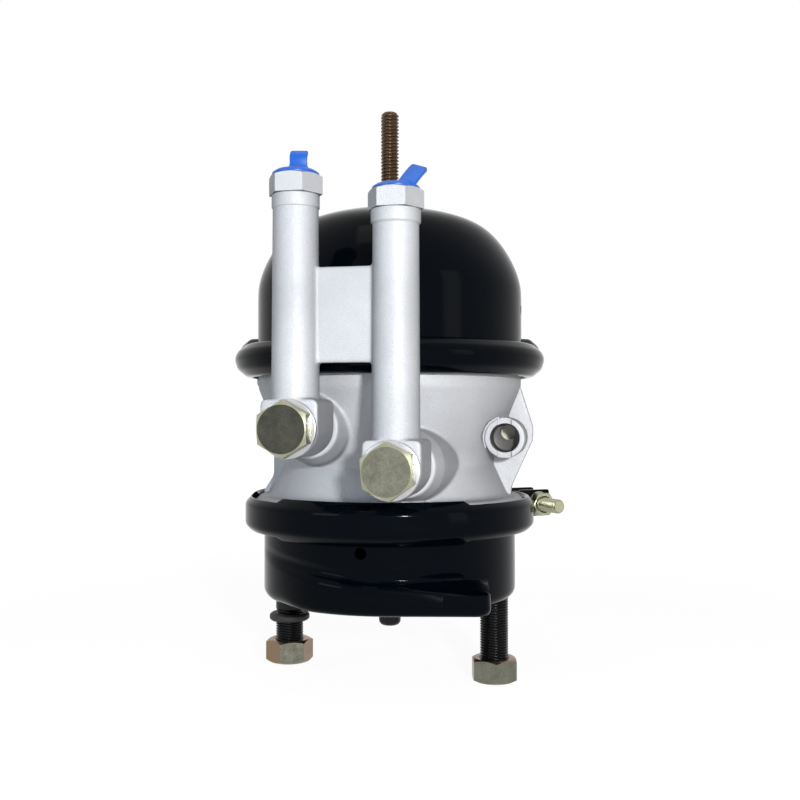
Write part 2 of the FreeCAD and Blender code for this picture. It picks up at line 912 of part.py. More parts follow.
def make_clamp_band():
    body = new_body("clamp_band")
    wide = band_section(v.wide_lip_extra)
    revolve(body, "Channel", band_section(ZERO))
    # The lips reach further in over two arcs, mirrored about the clamp bolt.
    span = v.wide_lip_end - v.wide_lip_start
    revolve(body, "FrontLips", wide, start=v.wide_lip_start - 90, sweep=span)
    mirrored = v.clamp_angle * 2 - v.wide_lip_end - 90
    revolve(body, "RearLips", wide, start=mirrored, sweep=span)
    lug_turn = v.clamp_angle - 90
    low = (rim_low + casting_edge - v.lug_height) / 2
    outer = v.rim_radius + v.band_clearance
    half_gap = v.band_gap / 2
    lugs = new_sketch(body, "LugOutlines", "XY", lift=low, turn=lug_turn)
    for sign in (-1, 1):
        near = half_gap * sign
        far = (half_gap + v.lug_thickness) * sign
        draw_outline(
            lugs,
            [
                (outer, near),
                (outer + v.lug_length, near),
                (outer + v.lug_length, far),
                (outer, far),
            ],
        )
    push(body, "Lugs", lugs, v.lug_height)
    gap = new_sketch(body, "GapOutline", "XY", turn=lug_turn)
    draw_outline(
        gap,
        [
            (v.rim_radius / 2, -half_gap),
            (v.rim_radius * 2, -half_gap),
            (v.rim_radius * 2, half_gap),
            (v.rim_radius / 2, half_gap),
        ],
    )
    push(body, "Gap", gap, casting_edge * 2, cut=True, reverse=True)
    hole = new_sketch(body, "BoltHoleCircle", "XZ", lift=-v.rim_radius, turn=lug_turn)
    draw_circle(
        hole,
        v.clamp_bolt_offset,
        low + v.lug_height / 2,
        v.clamp_bolt_radius + v.clamp_hole_clearance,
    )
    push(body, "BoltHole", hole, v.rim_radius * 2, cut=True, reverse=True)
    return body


def lathe_along(label, corners, place, turn=ZERO, hex_flats=None, hex_from=None, hex_to=None,
                hex_turn=ZERO):
    """A round piece made about its own Z axis, with a hexagon if it has one, then set in place."""
    body = new_body(label)
    revolve(body, "Round", corners)
    if hex_flats is not None:
        head = new_sketch(body, "HexOutline", "XY", lift=hex_from)
        draw_outline(head, hexagon(ZERO, ZERO, hex_flats, hex_turn))
        push(body, "Hex", head, hex_to - hex_from)
    doc.recompute()
    place(body)
    return body


def set_place(thing, base, axis=(0, 0, 1), angle=ZERO):
    """Places a body by three bound lengths and a turn about one axis."""
    thing.Placement = FreeCAD.Placement(
        FreeCAD.Vector(*[as_size(x).number for x in base]),
        FreeCAD.Rotation(FreeCAD.Vector(*axis), as_size(angle).number),
    )
    for letter, size in zip("xyz", base):
        thing.setExpression("Placement.Base.%s" % letter, as_size(size).text)
    if isinstance(angle, Size) and angle is not ZERO:
        thing.setExpression("Placement.Rotation.Angle", angle.text)


def make_clamp_bolt():
    """Bolt along the band's tangent, its head on the far lug and the flanged nut on the near one."""
    level = (rim_low + casting_edge) / 2
    turn = v.clamp_angle - 90
    half = v.band_gap / 2 + v.lug_thickness
    across_x = v.clamp_bolt_offset * turn.cosine()
    across_y = v.clamp_bolt_offset * turn.sine()

    def put(body):
        spin = FreeCAD.Rotation(FreeCAD.Vector(0, 0, 1), turn.number)
        lie = FreeCAD.Rotation(FreeCAD.Vector(1, 0, 0), 90)
        body.Placement = FreeCAD.Placement(
            FreeCAD.Vector(across_x.number, across_y.number, level.number),
            spin.multiply(lie),
        )
        for letter, size in (("x", across_x), ("y", across_y), ("z", level)):
            body.setExpression("Placement.Base.%s" % letter, size.text)

    bolt = lathe_along(
        "clamp_bolt",
        [
            (ZERO, -half - v.clamp_hex_height),
            (v.clamp_bolt_radius, -half - v.clamp_hex_height),
            (v.clamp_bolt_radius, half + v.clamp_bolt_tail - v.stud_tip_chamfer),
            (v.clamp_bolt_radius - v.stud_tip_chamfer, half + v.clamp_bolt_tail),
            (ZERO, half + v.clamp_bolt_tail),
        ],
        put,
        hex_flats=v.clamp_hex_flats,
        hex_from=-half - v.clamp_hex_height,
        hex_to=-half,
    )
    nut = new_body("clamp_nut")
    collar = half + v.clamp_flange_height
    revolve(
        nut,
        "Flange",
        [
            (v.clamp_bolt_radius, half),
            (v.clamp_flange_radius, half),
            (v.clamp_flange_radius, collar),
            (v.clamp_bolt_radius, collar),
        ],
    )
    outline = new_sketch(nut, "HexOutline", "XY", lift=collar)
    draw_outline(outline, hexagon(ZERO, ZERO, v.clamp_hex_flats, ZERO))
    draw_circle(outline, ZERO, ZERO, v.clamp_bolt_radius)
    push(nut, "Hex", outline, v.clamp_hex_height)
    doc.recompute()
    put(nut)
    return bolt, nut


def make_studs():
    """Two studs with heads on their seats, a nut each, and a rubber ring on the left one."""
    studs = []
    nuts = []
    for side, sign, low, turn in (
        ("left", -1, v.left_nut_z, v.left_nut_turn),
        ("right", 1, v.right_nut_z, v.right_nut_turn),
    ):
        across = v.stud_half_spacing * sign
        tip = -v.stud_length
        stud = lathe_along(
            side + "_stud",
            [
                (ZERO, tip),
                (v.stud_radius - v.stud_tip_chamfer, tip),
                (v.stud_radius, tip + v.stud_tip_chamfer),
                (v.stud_radius, v.stud_seat_height),
                (ZERO, v.stud_seat_height),
            ],
            lambda body, x=across: set_place(body, (x, ZERO, ZERO)),
        )
        head = new_sketch(stud, "HeadOutline", "XY", lift=v.stud_seat_height)
        inward = v.stud_head_inward * -sign
        wall = v.shell_radius - v.shell_wall - v.stud_head_wall_gap
        outward = (wall - v.stud_half_spacing) * sign
        half = v.stud_head_half_width
        draw_outline(head, [(inward, -half), (outward, -half), (outward, half), (inward, half)])
        push(stud, "Head", head, v.stud_head_height)
        studs.append(stud)
        nut = new_body(side + "_stud_nut")
        outline = new_sketch(nut, "HexOutline", "XY", lift=ZERO)
        draw_outline(outline, hexagon(ZERO, ZERO, v.nut_flats, turn))
        draw_circle(outline, ZERO, ZERO, v.stud_radius)
        push(nut, "Hex", outline, v.nut_height)
        chamfer_hexagon(nut, "Chamfer", v.nut_flats, v.nut_height, ZERO, v.nut_chamfer)
        doc.recompute()
        set_place(nut, (across, ZERO, -low))
        nuts.append(nut)
    group("mounting_studs", studs)
    group("stud_nuts", nuts)
    ring = new_body("stud_rubber_ring")
    section = v.stud_ring_section
    revolve(
        ring,
        "Ring",
        [
            (v.stud_radius, -section),
            (v.stud_radius + section, -section),
            (v.stud_radius + section + v.stud_ring_bulge, ZERO),
            (v.stud_radius + section, section),
            (v.stud_radius, section),
        ],
    )
    round_rings(
        ring,
        "RubberRound",
        [
            (v.stud_radius + section, -section),
            (v.stud_radius + section + v.stud_ring_bulge, ZERO),
            (v.stud_radius + section, section),
        ],
        v.stud_ring_round,
    )
    doc.recompute()
    set_place(ring, (-v.stud_half_spacing, ZERO, -v.stud_ring_z))


def make_port_pipes():
    """One twin casting: two pipes joined by a web, with elbow blocks and threaded hexagon tops."""
    body = new_body("port_pipes")
    y_axis = -v.pipe_y
    front = v.pipe_y + v.block_front
    half = v.block_half_width
    for side, across, block_z, top in (
        ("Left", v.left_port_x, v.left_block_z, v.left_top_z),
        ("Right", v.right_port_x, v.right_block_z, v.right_top_z),
    ):
        disc(body, side + "Pipe", across, y_axis, v.pipe_radius, block_z, top)
        hex_low = top - v.port_hex_height
        hex_sketch = new_sketch(body, side + "HexOutline", "XY", lift=hex_low)
        draw_outline(hex_sketch, hexagon(across, y_axis, v.port_hex_flats, ZERO))
        push(body, side + "Hex", hex_sketch, v.port_hex_height)
        disc(
            body, side + "Collar", across, y_axis, v.collar_radius,
            hex_low - v.collar_height, hex_low,
        )
        # The block is square above its middle and round below.
        block = new_sketch(body, side + "BlockOutline", "XZ", lift=front)
        draw_outline(
            block,
            [
                (across - half, block_z),
                (across + half, block_z),
                (across + half, block_z + half),
                (across - half, block_z + half),
            ],
        )
        depth = v.block_front + v.block_back
        push(body, side + "Block", block, depth, reverse=True)
        barrel(body, side + "BlockRound", across, block_z, half, front, depth)
    web = new_sketch(body, "WebOutline", "XY", lift=v.web_low_z)
    half_web = v.web_thickness / 2
    draw_outline(
        web,
        [
            (v.left_port_x, y_axis - half_web),
            (v.right_port_x, y_axis - half_web),
            (v.right_port_x, y_axis + half_web),
            (v.left_port_x, y_axis + half_web),
        ],
    )
    push(body, "Web", web, v.web_high_z - v.web_low_z)
    for side, across, block_z, top in (
        ("Left", v.left_port_x, v.left_block_z, v.left_top_z),
        ("Right", v.right_port_x, v.right_block_z, v.right_top_z),
    ):
        mouth = top - v.port_mouth_depth
        thread_end = mouth - v.port_thread_depth
        disc(body, side + "Mouth", across, y_axis, v.port_mouth_radius, mouth, top, cut=True)
        disc(body, side + "Thread", across, y_axis, v.port_thread_radius, thread_end, mouth, cut=True)
        disc(body, side + "Bore", across, y_axis, v.pipe_bore_radius, block_z, thread_end, cut=True)
        barrel(
            body,
            side + "BoltHole",
            across,
            block_z,
            v.banjo_shank_radius + v.banjo_hole_clearance,
            front,
            v.block_front + v.block_back,
            cut=True,
        )
    return body


def make_banjo_bolts():
    bolts = []
    washers = []
    seals = []
    front = v.pipe_y + v.block_front
    back = v.pipe_y - v.block_back
    for side, across, up in (
        ("left", v.left_port_x, v.left_block_z),
        ("right", v.right_port_x, v.right_block_z),
    ):
        def put(body, x=across, z=up):
            set_place(body, (x, -front, z), axis=(1, 0, 0), angle=as_size(90))

        end = -(front - back) - v.base_seal_height - v.banjo_thread_length
        under = v.banjo_washer_height
        top = under + v.banjo_head_height
        bolt = lathe_along(
            side + "_banjo_bolt",
            [
                (ZERO, end),
                (v.banjo_shank_radius, end),
                (v.banjo_shank_radius, top),
                (ZERO, top),
            ],
            put,
            hex_flats=v.banjo_flats,
            hex_from=under,
            hex_to=top,
            hex_turn=v.banjo_head_turn,
        )
        chamfer_hexagon(bolt, "Chamfer", v.banjo_flats, top, None, v.banjo_chamfer)
        bolts.append(bolt)
        washers.append(
            lathe_along(
                side + "_banjo_washer",
                [
                    (v.banjo_shank_radius, ZERO),
                    (v.banjo_washer_radius, ZERO),
                    (v.banjo_washer_radius, v.banjo_washer_height),
                    (v.banjo_shank_radius, v.banjo_washer_height),
                ],
                put,
            )
        )
        seal_low = -(front - back) - v.base_seal_height
        seals.append(
            lathe_along(
                side + "_base_seal",
                [
                    (v.banjo_shank_radius, seal_low),
                    (v.base_seal_radius, seal_low),
                    (v.base_seal_radius, seal_low + v.base_seal_height),
                    (v.banjo_shank_radius, seal_low + v.base_seal_height),
                ],
                put,
            )
        )
    group("banjo_bolts", bolts)
    group("banjo_washers", washers)
    group("port_base_seals", seals)


def make_port_cap(label, across, top, lean, turn):
    """A push-in plug with a flange and a pull tab."""
    body = new_body(label)
    revolve(
        body,
        "Plug",
        [
            (ZERO, ZERO),
            (v.cap_plug_radius - v.cap_plug_wall, ZERO),
            (v.cap_plug_radius - v.cap_plug_wall, -v.cap_plug_depth),
            (v.cap_plug_radius, -v.cap_plug_depth),
            (v.cap_plug_radius, ZERO),
            (v.cap_flange_radius, ZERO),
            (v.cap_flange_radius, v.cap_flange_height),
            (ZERO, v.cap_flange_height),
        ],
    )
    # The tab hinges up from the flange, so its side view is a leaning strip.
    tab = new_sketch(body, "TabOutline", "XZ", turn=turn)
    run = v.cap_tab_height * lean.sine()
    rise = v.cap_tab_height * lean.cosine()
    thick = v.cap_tab_thickness
    root = v.cap_flange_height / 2
    draw_outline(
        tab,
        [
            (-thick / 2, root),
            (thick / 2, root),
            (run + thick / 2, root + rise),
            (run - thick / 2, root + rise + thick * lean.sine()),
        ],
    )
    push(body, "Tab", tab, v.cap_tab_width, midplane=True)
    doc.recompute()
    set_place(body, (across, -v.pipe_y, top))
    return body


def make_release_tool():
    half_head = v.release_head_length / 2
    bolt = new_body("release_bolt")
    foot = spring_low
    revolve(
        bolt,
        "Stem",
        [
            (ZERO, foot),
            (v.release_radius, foot),
            (v.release_radius, v.release_top_z - v.release_tip_chamfer),
            (v.release_radius - v.release_tip_chamfer, v.release_top_z),
            (ZERO, v.release_top_z),
        ],
    )
    # The cross head lies under the plate's keyed hub.
    head = new_sketch(bolt, "HeadOutline", "XY", lift=foot)
    half_width = v.release_head_width / 2
    draw_outline(
        head,
        [
            (-half_head, -half_width),
            (half_head, -half_width),
            (half_head, half_width),
            (-half_head, half_width),
        ],
    )
    push(bolt, "Head", head, v.release_head_height)
    washer = new_body("release_washer")
    washer_top = v.crown_z + v.release_washer_height
    revolve(
        washer,
        "Washer",
        [
            (v.release_radius + v.release_hole_clearance, v.crown_z),
            (v.release_washer_radius, v.crown_z),
            (v.release_washer_radius, washer_top),
            (v.release_radius + v.release_hole_clearance, washer_top),
        ],
    )
    nut = new_body("release_nut")
    outline = new_sketch(nut, "HexOutline", "XY", lift=washer_top)
    draw_outline(outline, hexagon(ZERO, ZERO, v.release_nut_flats, ZERO))
    draw_circle(outline, ZERO, ZERO, v.release_radius + v.release_thread_clearance)
    push(nut, "Hex", outline, v.release_nut_height)


def make_spring_stage():
    plate = new_body("pressure_plate")
    bottom = plate_top
    lip = v.stage_plate_radius - v.stage_lip_width
    high = spring_low + v.stage_lip_height
    hub_top = spring_low + v.release_head_height + v.stage_hub_height / 2
    revolve(
        plate,
        "Plate",
        [
            (ZERO, bottom),
            (v.stage_plate_radius, bottom),
            (v.stage_plate_radius, high),
            (lip, high),
            (lip, spring_low),
            (v.stage_hub_radius, spring_low),
            (v.stage_hub_radius, hub_top),
            (ZERO, hub_top),
        ],
    )
    # The keyed socket: a round chamber for the cross head below a slot that lets it in.
    half_width = v.release_head_width / 2 + v.release_hole_clearance
    half_length = v.release_head_length / 2 + v.release_hole_clearance
    chamber_top = spring_low + v.release_head_height
    disc(plate, "Chamber", ZERO, ZERO, half_length, spring_low, chamber_top, cut=True)
    slot = new_sketch(plate, "SlotOutline", "XY", lift=chamber_top)
    draw_outline(
        slot,
        [
            (-half_width, -half_length),
            (half_width, -half_length),
            (half_width, half_length),
            (-half_width, half_length),
        ],
    )
    push(plate, "Slot", slot, hub_top - chamber_top, cut=True, reverse=True)

    plunger = new_body("plunger_plate")
    low = stage_face - v.plunger_plate_thickness
    revolve(
        plunger,
        "Plate",
        [
            (ZERO, low),
            (v.plunger_plate_radius, low),
            (v.plunger_plate_radius, stage_face),
            (ZERO, stage_face),
        ],
    )
    rod = new_body("plunger_rod")
    foot = service_face + v.plunger_gap
    revolve(
        rod,
        "Rod",
        [
            (ZERO, foot),
            (v.plunger_rod_radius, foot),
            (v.plunger_rod_radius, low),
            (ZERO, low),
        ],
    )
    bush = new_body("guide_bush")
    bore = v.plunger_rod_radius + v.guide_clearance
    wall_out = bore + v.bush_wall
    seal_low = divider_high - v.seal_groove_height / 2
    seal_high = seal_low + v.seal_groove_height
    revolve(
        bush,
        "Bush",
        [
            (bore, v.divider_low_z),
            (wall_out, v.divider_low_z),
            (wall_out, divider_high + v.hub_rise),
            (bore, divider_high + v.hub_rise),
            (bore, seal_high),
            (bore + v.bush_wall / 2, seal_high),
            (bore + v.bush_wall / 2, seal_low),
            (bore, seal_low),
        ],
    )
    seal = new_body("plunger_seal")
    revolve(
        seal,
        "Seal",
        [
            (bore, seal_low),
            (bore + v.bush_wall / 2, seal_low),
            (bore + v.bush_wall / 2, seal_high),
            (bore, seal_high),
        ],
    )
    seat = new_body("power_spring_seat")
    revolve(
        seat,
        "Seat",
        [
            (v.seat_inner_radius, seat_low),
            (v.seat_outer_radius, seat_low),
            (v.seat_outer_radius, seat_low + v.seat_edge),
            (v.seat_inner_radius, under_crown(v.seat_inner_radius)),
        ],
    )


def make_diaphragm(label, low, rim, wall_foot, crown, face):
    """A moulded diaphragm: clamped rim, sloping wall and a flat crown on its plate."""
    body = new_body(label)
    thick = v.diaphragm_thickness
    revolve(
        body,
        "Diaphragm",
        [
            (ZERO, face),
            (crown, face),
            (wall_foot, low + thick),
            (wall_foot, low),
            (rim, low),
            (rim, low + thick),
            (wall_foot + v.diaphragm_bend, low + thick),
            (crown + v.diaphragm_bend, face + thick),
            (ZERO, face + thick),
        ],
    )
    return body


def make_coil(label, wire, low_radius, top_radius, low, high, turns):
    """A conical coil spring between two seats, in straight lengths of eight-sided wire."""
    steps = round(turns.number * COIL_STEPS_PER_TURN)
    bottom = low.number + wire.number
    rise = high.number - wire.number - bottom
    widening = top_radius.number - low_radius.number
    points = []
    for step in range(steps + 1):
        share = step / steps
        angle = 2 * math.pi * turns.number * share
        radius = low_radius.number + widening * share
        points.append(
            FreeCAD.Vector(
                radius * math.cos(angle), radius * math.sin(angle), bottom + rise * share
            )
        )
    along = (points[1] - points[0]).normalize()
    up = along.cross(FreeCAD.Vector(1, 0, 0)).normalize()
    outward = up.cross(along).normalize()
    corners = []
    for side in range(COIL_SIDES + 1):
        angle = 2 * math.pi * side / COIL_SIDES
        corners.append(
            points[0]
            + outward * (wire.number * math.cos(angle))
            + up * (wire.number * math.sin(angle))
        )
    corners[-1] = corners[0]
    spine = Part.Wire(Part.makePolygon(points).Edges)
    coil = doc.addObject("Part::Feature", label)
    coil.Shape = spine.makePipeShell([Part.makePolygon(corners)], True, False, 1)
    return keep(coil, label)


def make_service_stage():
    plate = new_body("service_plate")
    low = v.service_plate_top - v.service_plate_thickness
    revolve(
        plate,
        "Plate",
        [
            (ZERO, low),
            (v.service_plate_radius, low),
            (v.service_plate_radius, v.service_plate_top),
            (ZERO, v.service_plate_top),
        ],
    )
    rod = new_body("push_rod")
    tip = -v.push_tip_z
    neck = tip + v.push_tip_length
    revolve(
        rod,
        "Rod",
        [
            (ZERO, tip),
            (v.push_tip_radius, tip),
            (v.push_tip_radius, neck),
            (v.push_rod_radius, neck + v.push_rod_radius - v.push_tip_radius),
            (v.push_rod_radius, low),
            (ZERO, low),
        ],
    )
    round_rings(rod, "TipRound", [(v.push_tip_radius, tip)], v.push_tip_round)
    boot = new_body("push_rod_boot")
    inner = v.push_rod_radius + v.boot_clearance
    folds = int(v.boot_folds.number)
    foot_z = v.floor_thickness
    outer = v.rod_hole_radius + v.boot_ring_width
    steps = (v.boot_top_z - foot_z - v.boot_ring_height) / folds
    outside = [(outer, foot_z), (outer, foot_z + v.boot_ring_height)]
    inside = []
    for fold in range(folds):
        base = foot_z + v.boot_ring_height + steps * fold
        outside.append((inner + v.boot_wall, base + steps * v.boot_fold_low))
        outside.append((inner + v.boot_fold_depth + v.boot_wall, base + steps * v.boot_fold_high))
        inside.append((inner, base + steps * v.boot_fold_low))
        inside.append((inner + v.boot_fold_depth, base + steps * v.boot_fold_high))
    outside.append((inner + v.boot_wall, v.boot_top_z))
    inside.append((inner, v.boot_top_z))
    root = [(outer - v.boot_ring_width * 2, foot_z)]
    revolve(boot, "Boot", root + outside + inside[::-1])
    seal = new_body("mounting_face_seal")
    section = v.face_seal_section
    revolve(
        seal,
        "Seal",
        [
            (v.face_seal_radius - section, v.face_seal_inset),
            (v.face_seal_radius + section, v.face_seal_inset),
            (v.face_seal_radius + section, v.face_seal_depth),
            (v.face_seal_radius - section, v.face_seal_depth),
        ],
    )


make_service_housing()
make_clamp_band()
make_clamp_bolt()
make_flange_housing()
make_spring_housing()
make_crimp_ring()
make_studs()
make_port_pipes()
make_banjo_bolts()
make_port_cap("left_port_cap", v.left_port_x, v.left_top_z, v.left_tab_lean, v.left_tab_turn)
make_port_cap("right_port_cap", v.right_port_x, v.right_top_z, v.right_tab_lean, v.right_tab_turn)
make_release_tool()
make_spring_stage()
make_service_stage()
make_diaphragm(
    "service_diaphragm",
    v.housing_rim_z,
    v.rim_radius - v.band_clearance * 2,
    v.foot_radius - v.casting_wall - v.diaphragm_shoulder,
    v.service_plate_radius + v.diaphragm_gap,
    v.service_plate_top,
)
make_diaphragm(
    "spring_diaphragm",
    upper_rim_top,
    v.upper_rim_radius - v.band_clearance * 2,
    v.bowl_radius - v.casting_wall - v.diaphragm_shoulder,
    v.plunger_plate_radius + v.diaphragm_gap,
    stage_face,
)
make_coil(
    "power_spring",
    v.power_wire_radius,
    v.power_low_radius,
    v.power_top_radius,
    spring_low,
    seat_low,
    v.power_turns,
)
make_coil(
    "plunger_spring",
    v.lift_wire_radius,
    v.lift_low_radius,
    v.lift_top_radius,
    divider_high,
    stage_face - v.plunger_plate_thickness,
    v.lift_turns,
)
make_coil(
    "return_spring",
    v.return_wire_radius,
    v.return_low_radius,
    v.return_top_radius,
    v.floor_thickness,
    v.service_plate_top - v.service_plate_thickness,
    v.return_turns,
)

doc.recompute()

for thing in doc.Objects:
    for state in ("Invalid", "Error"):
        if state in thing.State:
            raise RuntimeError("%s is %s" % (thing.Label, state))

os.makedirs("parts", exist_ok=True)
for label, things in PARTS:
    shapes = [thing.Shape for thing in things]
    for shape in shapes:
        if shape.isNull() or not shape.isValid() or not shape.Solids:
            raise RuntimeError(label + " has no valid solid")
    whole = shapes[0] if len(shapes) == 1 else Part.makeCompound(shapes)
    whole.exportStep("parts/%s.step" % label)
    print("%-22s solids %d  volume %.0f" % (label, len(whole.Solids), whole.Volume))
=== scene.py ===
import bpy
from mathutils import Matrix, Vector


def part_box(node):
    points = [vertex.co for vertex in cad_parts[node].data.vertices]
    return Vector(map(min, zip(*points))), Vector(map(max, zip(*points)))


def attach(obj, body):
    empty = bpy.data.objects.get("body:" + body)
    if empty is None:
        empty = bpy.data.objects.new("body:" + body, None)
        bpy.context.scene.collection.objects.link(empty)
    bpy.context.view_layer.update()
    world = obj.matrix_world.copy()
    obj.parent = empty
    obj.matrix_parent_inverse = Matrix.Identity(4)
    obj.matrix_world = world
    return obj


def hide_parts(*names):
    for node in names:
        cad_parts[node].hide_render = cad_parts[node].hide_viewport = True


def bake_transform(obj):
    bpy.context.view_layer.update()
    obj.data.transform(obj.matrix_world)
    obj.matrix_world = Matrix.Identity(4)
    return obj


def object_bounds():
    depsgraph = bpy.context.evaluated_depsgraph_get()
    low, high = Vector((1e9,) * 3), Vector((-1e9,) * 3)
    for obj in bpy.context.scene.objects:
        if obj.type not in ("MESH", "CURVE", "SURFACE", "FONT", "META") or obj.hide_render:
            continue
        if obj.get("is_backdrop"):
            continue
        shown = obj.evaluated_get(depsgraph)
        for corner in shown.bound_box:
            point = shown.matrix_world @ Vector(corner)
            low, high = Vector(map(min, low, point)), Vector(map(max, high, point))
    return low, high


bl_info = {
    "name": "Brake Chamber Dressing",
    "version": (1, 0, 0),
    "blender": (4, 5, 0),
    "location": "3D View > Sidebar > Chamber",
    "description": "Builds the surfaces and finishes of a spring brake chamber round its solid model",
    "category": "Object",
}

import math

import bmesh
import bpy
from mathutils import Matrix, Vector

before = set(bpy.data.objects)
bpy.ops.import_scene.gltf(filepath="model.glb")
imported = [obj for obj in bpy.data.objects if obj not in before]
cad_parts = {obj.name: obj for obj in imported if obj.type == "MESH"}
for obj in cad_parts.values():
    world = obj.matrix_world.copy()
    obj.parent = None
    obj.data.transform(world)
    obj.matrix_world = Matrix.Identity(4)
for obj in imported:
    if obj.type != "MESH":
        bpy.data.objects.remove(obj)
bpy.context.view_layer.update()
MM = 0.001
TAU = 2 * math.pi
UP = Vector((0, 0, 1))
ROOT = "housing"
STAGE = "spring_stage"
SERVICE = "service_stage"

# Places and sizes that several pieces share, in mm
LEFT_X = -27.0
LEFT_Z = 96.0
LEFT_TOP = 219.9
RIGHT_X = 23.1
RIGHT_Z = 76.6
RIGHT_TOP = 210.9
PORTS = ((LEFT_X, LEFT_Z), (RIGHT_X, RIGHT_Z))
PIPE_Y = -97.6
FRONT_Y = -109.6
BOSS = (68.5, 0, 90.0)
STUD_X = 60.325
SEAT_TOP = 7.0
SHELL_TOP = 46.5
RIM_RADIUS = 83.8
CLAMP_BOLT = (93.5, 0, 48.6)
BORE_CHAMFER = 0.9
HEX_CHAMFER = math.radians(28)

# Light and look, with lamps as name, place, aim and size in mm, watts and tint
# Blend of the painted edge shade that darkens the casting's colour toward its outline
EDGE_SHADE_BLEND = 0.42
WORLD_LIGHT = 0.10
FLOOR_GLOW = 1.12
FLOOR_GAP = 0.5
FLOOR_HALF = 6000.0
LAMPS = (
    ("key", (400, -960, 260), (0, 0, 110), (80, 70), 8.6, (1.0, 0.99, 0.97)),
    ("left_softbox", (-700, -900, 420), (0, 0, 100), (420, 420), 2.6, (0.72, 0.86, 1.0)),
    ("right_softbox", (1000, -500, 300), (0, 0, 110), (300, 800), 1.0, (1.0, 0.94, 0.86)),
    ("top_softbox", (0, -300, 1300), (0, 0, 110), (700, 500), 1.6, (1.0, 1.0, 1.0)),
)


def top_of(node):
    """Height in millimetres of a node's highest point."""
    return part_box(node)[1].z / MM


def low_of(node):
    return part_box(node)[0].z / MM


# Settings


def length(name, default, about):
    return bpy.props.FloatProperty(name=name, description=about, default=default, min=0.0)


def colour(name, default, about):
    return bpy.props.FloatVectorProperty(
        name=name, description=about, default=default, size=3, min=0.0, max=1.0, subtype="COLOR"
    )


def angle(name, degrees, about):
    return bpy.props.FloatProperty(
        name=name, description=about, default=math.radians(degrees), unit="ROTATION"
    )


class ShellSettings(bpy.types.PropertyGroup):
    wall_radius: length("Shell radius", 72.0, "Outside of the lower shell's wall, in mm")
    wall: length("Wall", 3.0, "Sheet thickness of the shells, in mm")
    floor: length("Floor", 3.5, "Thickness of the lower shell's floor, in mm")
    corner: length("Corner round", 11.0, "Round where the wall meets the floor, in mm")
    stud_corner: length("Corner round at the studs", 5.5, "The same round beside the studs, in mm")
    rod_hole: length("Rod hole", 19.0, "Radius of the push rod's hole, in mm")
    ledge_push: length("Ledge push", 2.4, "How far the ledge's front stands out from the wall, in mm")
    ledge_height: length("Ledge height", 15.0, "Height of the ledge's top at its left end, in mm")
    ledge_foot: length("Ledge foot round", 4.0, "Round where the ledge meets the floor, in mm")
    ledge_side: length("Ledge side", 52.5, "How far right the ledge's corner stands, in mm")
    ledge_corner: length("Ledge corner round", 7.0, "Round of the ledge's upright corner, in mm")
    ledge_turn: angle("Ledge turn", 11.0, "Direction that the ledge's front faces")
    valley: length("Valley", 1.5, "How deep the wall is pressed in above the ledge, in mm")
    vent_height: length("Vent height", 32.0, "Height of the vent hole in the wall, in mm")
    vent_radius: length("Vent radius", 3.1, "Radius of the vent hole, in mm")
    dome_radius: length("Dome radius", 75.8, "Outside of the spring housing's wall, in mm")
    dome_vent_height: length("Dome vent height", 162.0, "Height of the dome's vent hole, in mm")


class BandSettings(bpy.types.PropertyGroup):
    seat_radius: length("Seat radius", 80.3, "Inside of the clamp band's wall, in mm")
    wall: length("Band wall", 2.4, "Sheet thickness of the clamp band, in mm")
    narrow_lip: length("Narrow lip", 3.0, "How far the lips reach in, in mm")
    wide_lip: length("Wide lip", 5.2, "How far the lips reach in over the wide arcs, in mm")
    wide_start: angle("Wide arc start", -36.0, "Start of the front wide arc, from the front")
    wide_end: angle("Wide arc end", 42.0, "End of the front wide arc, from the front")
    clamp_turn: angle("Clamp turn", 125.0, "Direction of the clamp bolt, from the front")
    crimp_radius: length("Crimp radius", 88.9, "Outside of the crimp ring, in mm")
    crimp_drop: length("Crimp drop", 5.2, "How much lower the crimp ring's front half is rolled, in mm")
    crimp_turn: angle("Crimp turn", 11.1, "Direction that the crimp ring's lower half faces")


class CastingSettings(bpy.types.PropertyGroup):
    grain: length("Casting grain", 0.9, "Voxel size at which the cast forms run together, in mm")
    base_radius: length("Base radius", 19.0, "Radius of a pipe base where it leaves the casting, in mm")
    rib: length("Rib", 5.0, "Thickness of the side ribs, in mm")
    boss_radius: length("Vent boss radius", 10.9, "Outside of the vent boss, in mm")
    bore_radius: length("Vent bore radius", 8.0, "Bore of the vent boss, in mm")
    pipe_radius: length("Pipe radius", 11.2, "Outside of the air pipes, in mm")
    block_half: length("Block half width", 14.4, "Half the width of the elbow blocks, in mm")


class FastenerSettings(bpy.types.PropertyGroup):
    stud_radius: length("Stud radius", 8.0, "Major radius of the studs, in mm")
    stud_pitch: length("Stud pitch", 1.5, "Pitch of the stud threads, in mm")
    release_radius: length("Release bolt radius", 5.2, "Major radius of the release bolt, in mm")
    release_pitch: length("Release pitch", 2.0, "Pitch of the release bolt's thread, in mm")
    hex_flats: length("Hexagon", 24.0, "Width across flats of the nuts and bolt heads, in mm")


class FinishSettings(bpy.types.PropertyGroup):
    enamel: colour("Enamel", (0.0003, 0.0013, 0.0028), "Black enamel of the shells and bands")
    casting: colour("Casting", (0.64, 0.66, 0.70), "Cast and blasted aluminium")
    zinc: colour("Zinc", (0.40, 0.375, 0.27), "Yellow passivated zinc")
    bronze: colour("Bronze zinc", (0.13, 0.085, 0.05), "Dark passivated zinc of the release bolt")
    cap: colour("Cap", (0.001, 0.11, 0.56), "Blue plastic of the port caps")
    stud: colour("Stud", (0.006, 0.006, 0.007), "Black oxide of the studs")


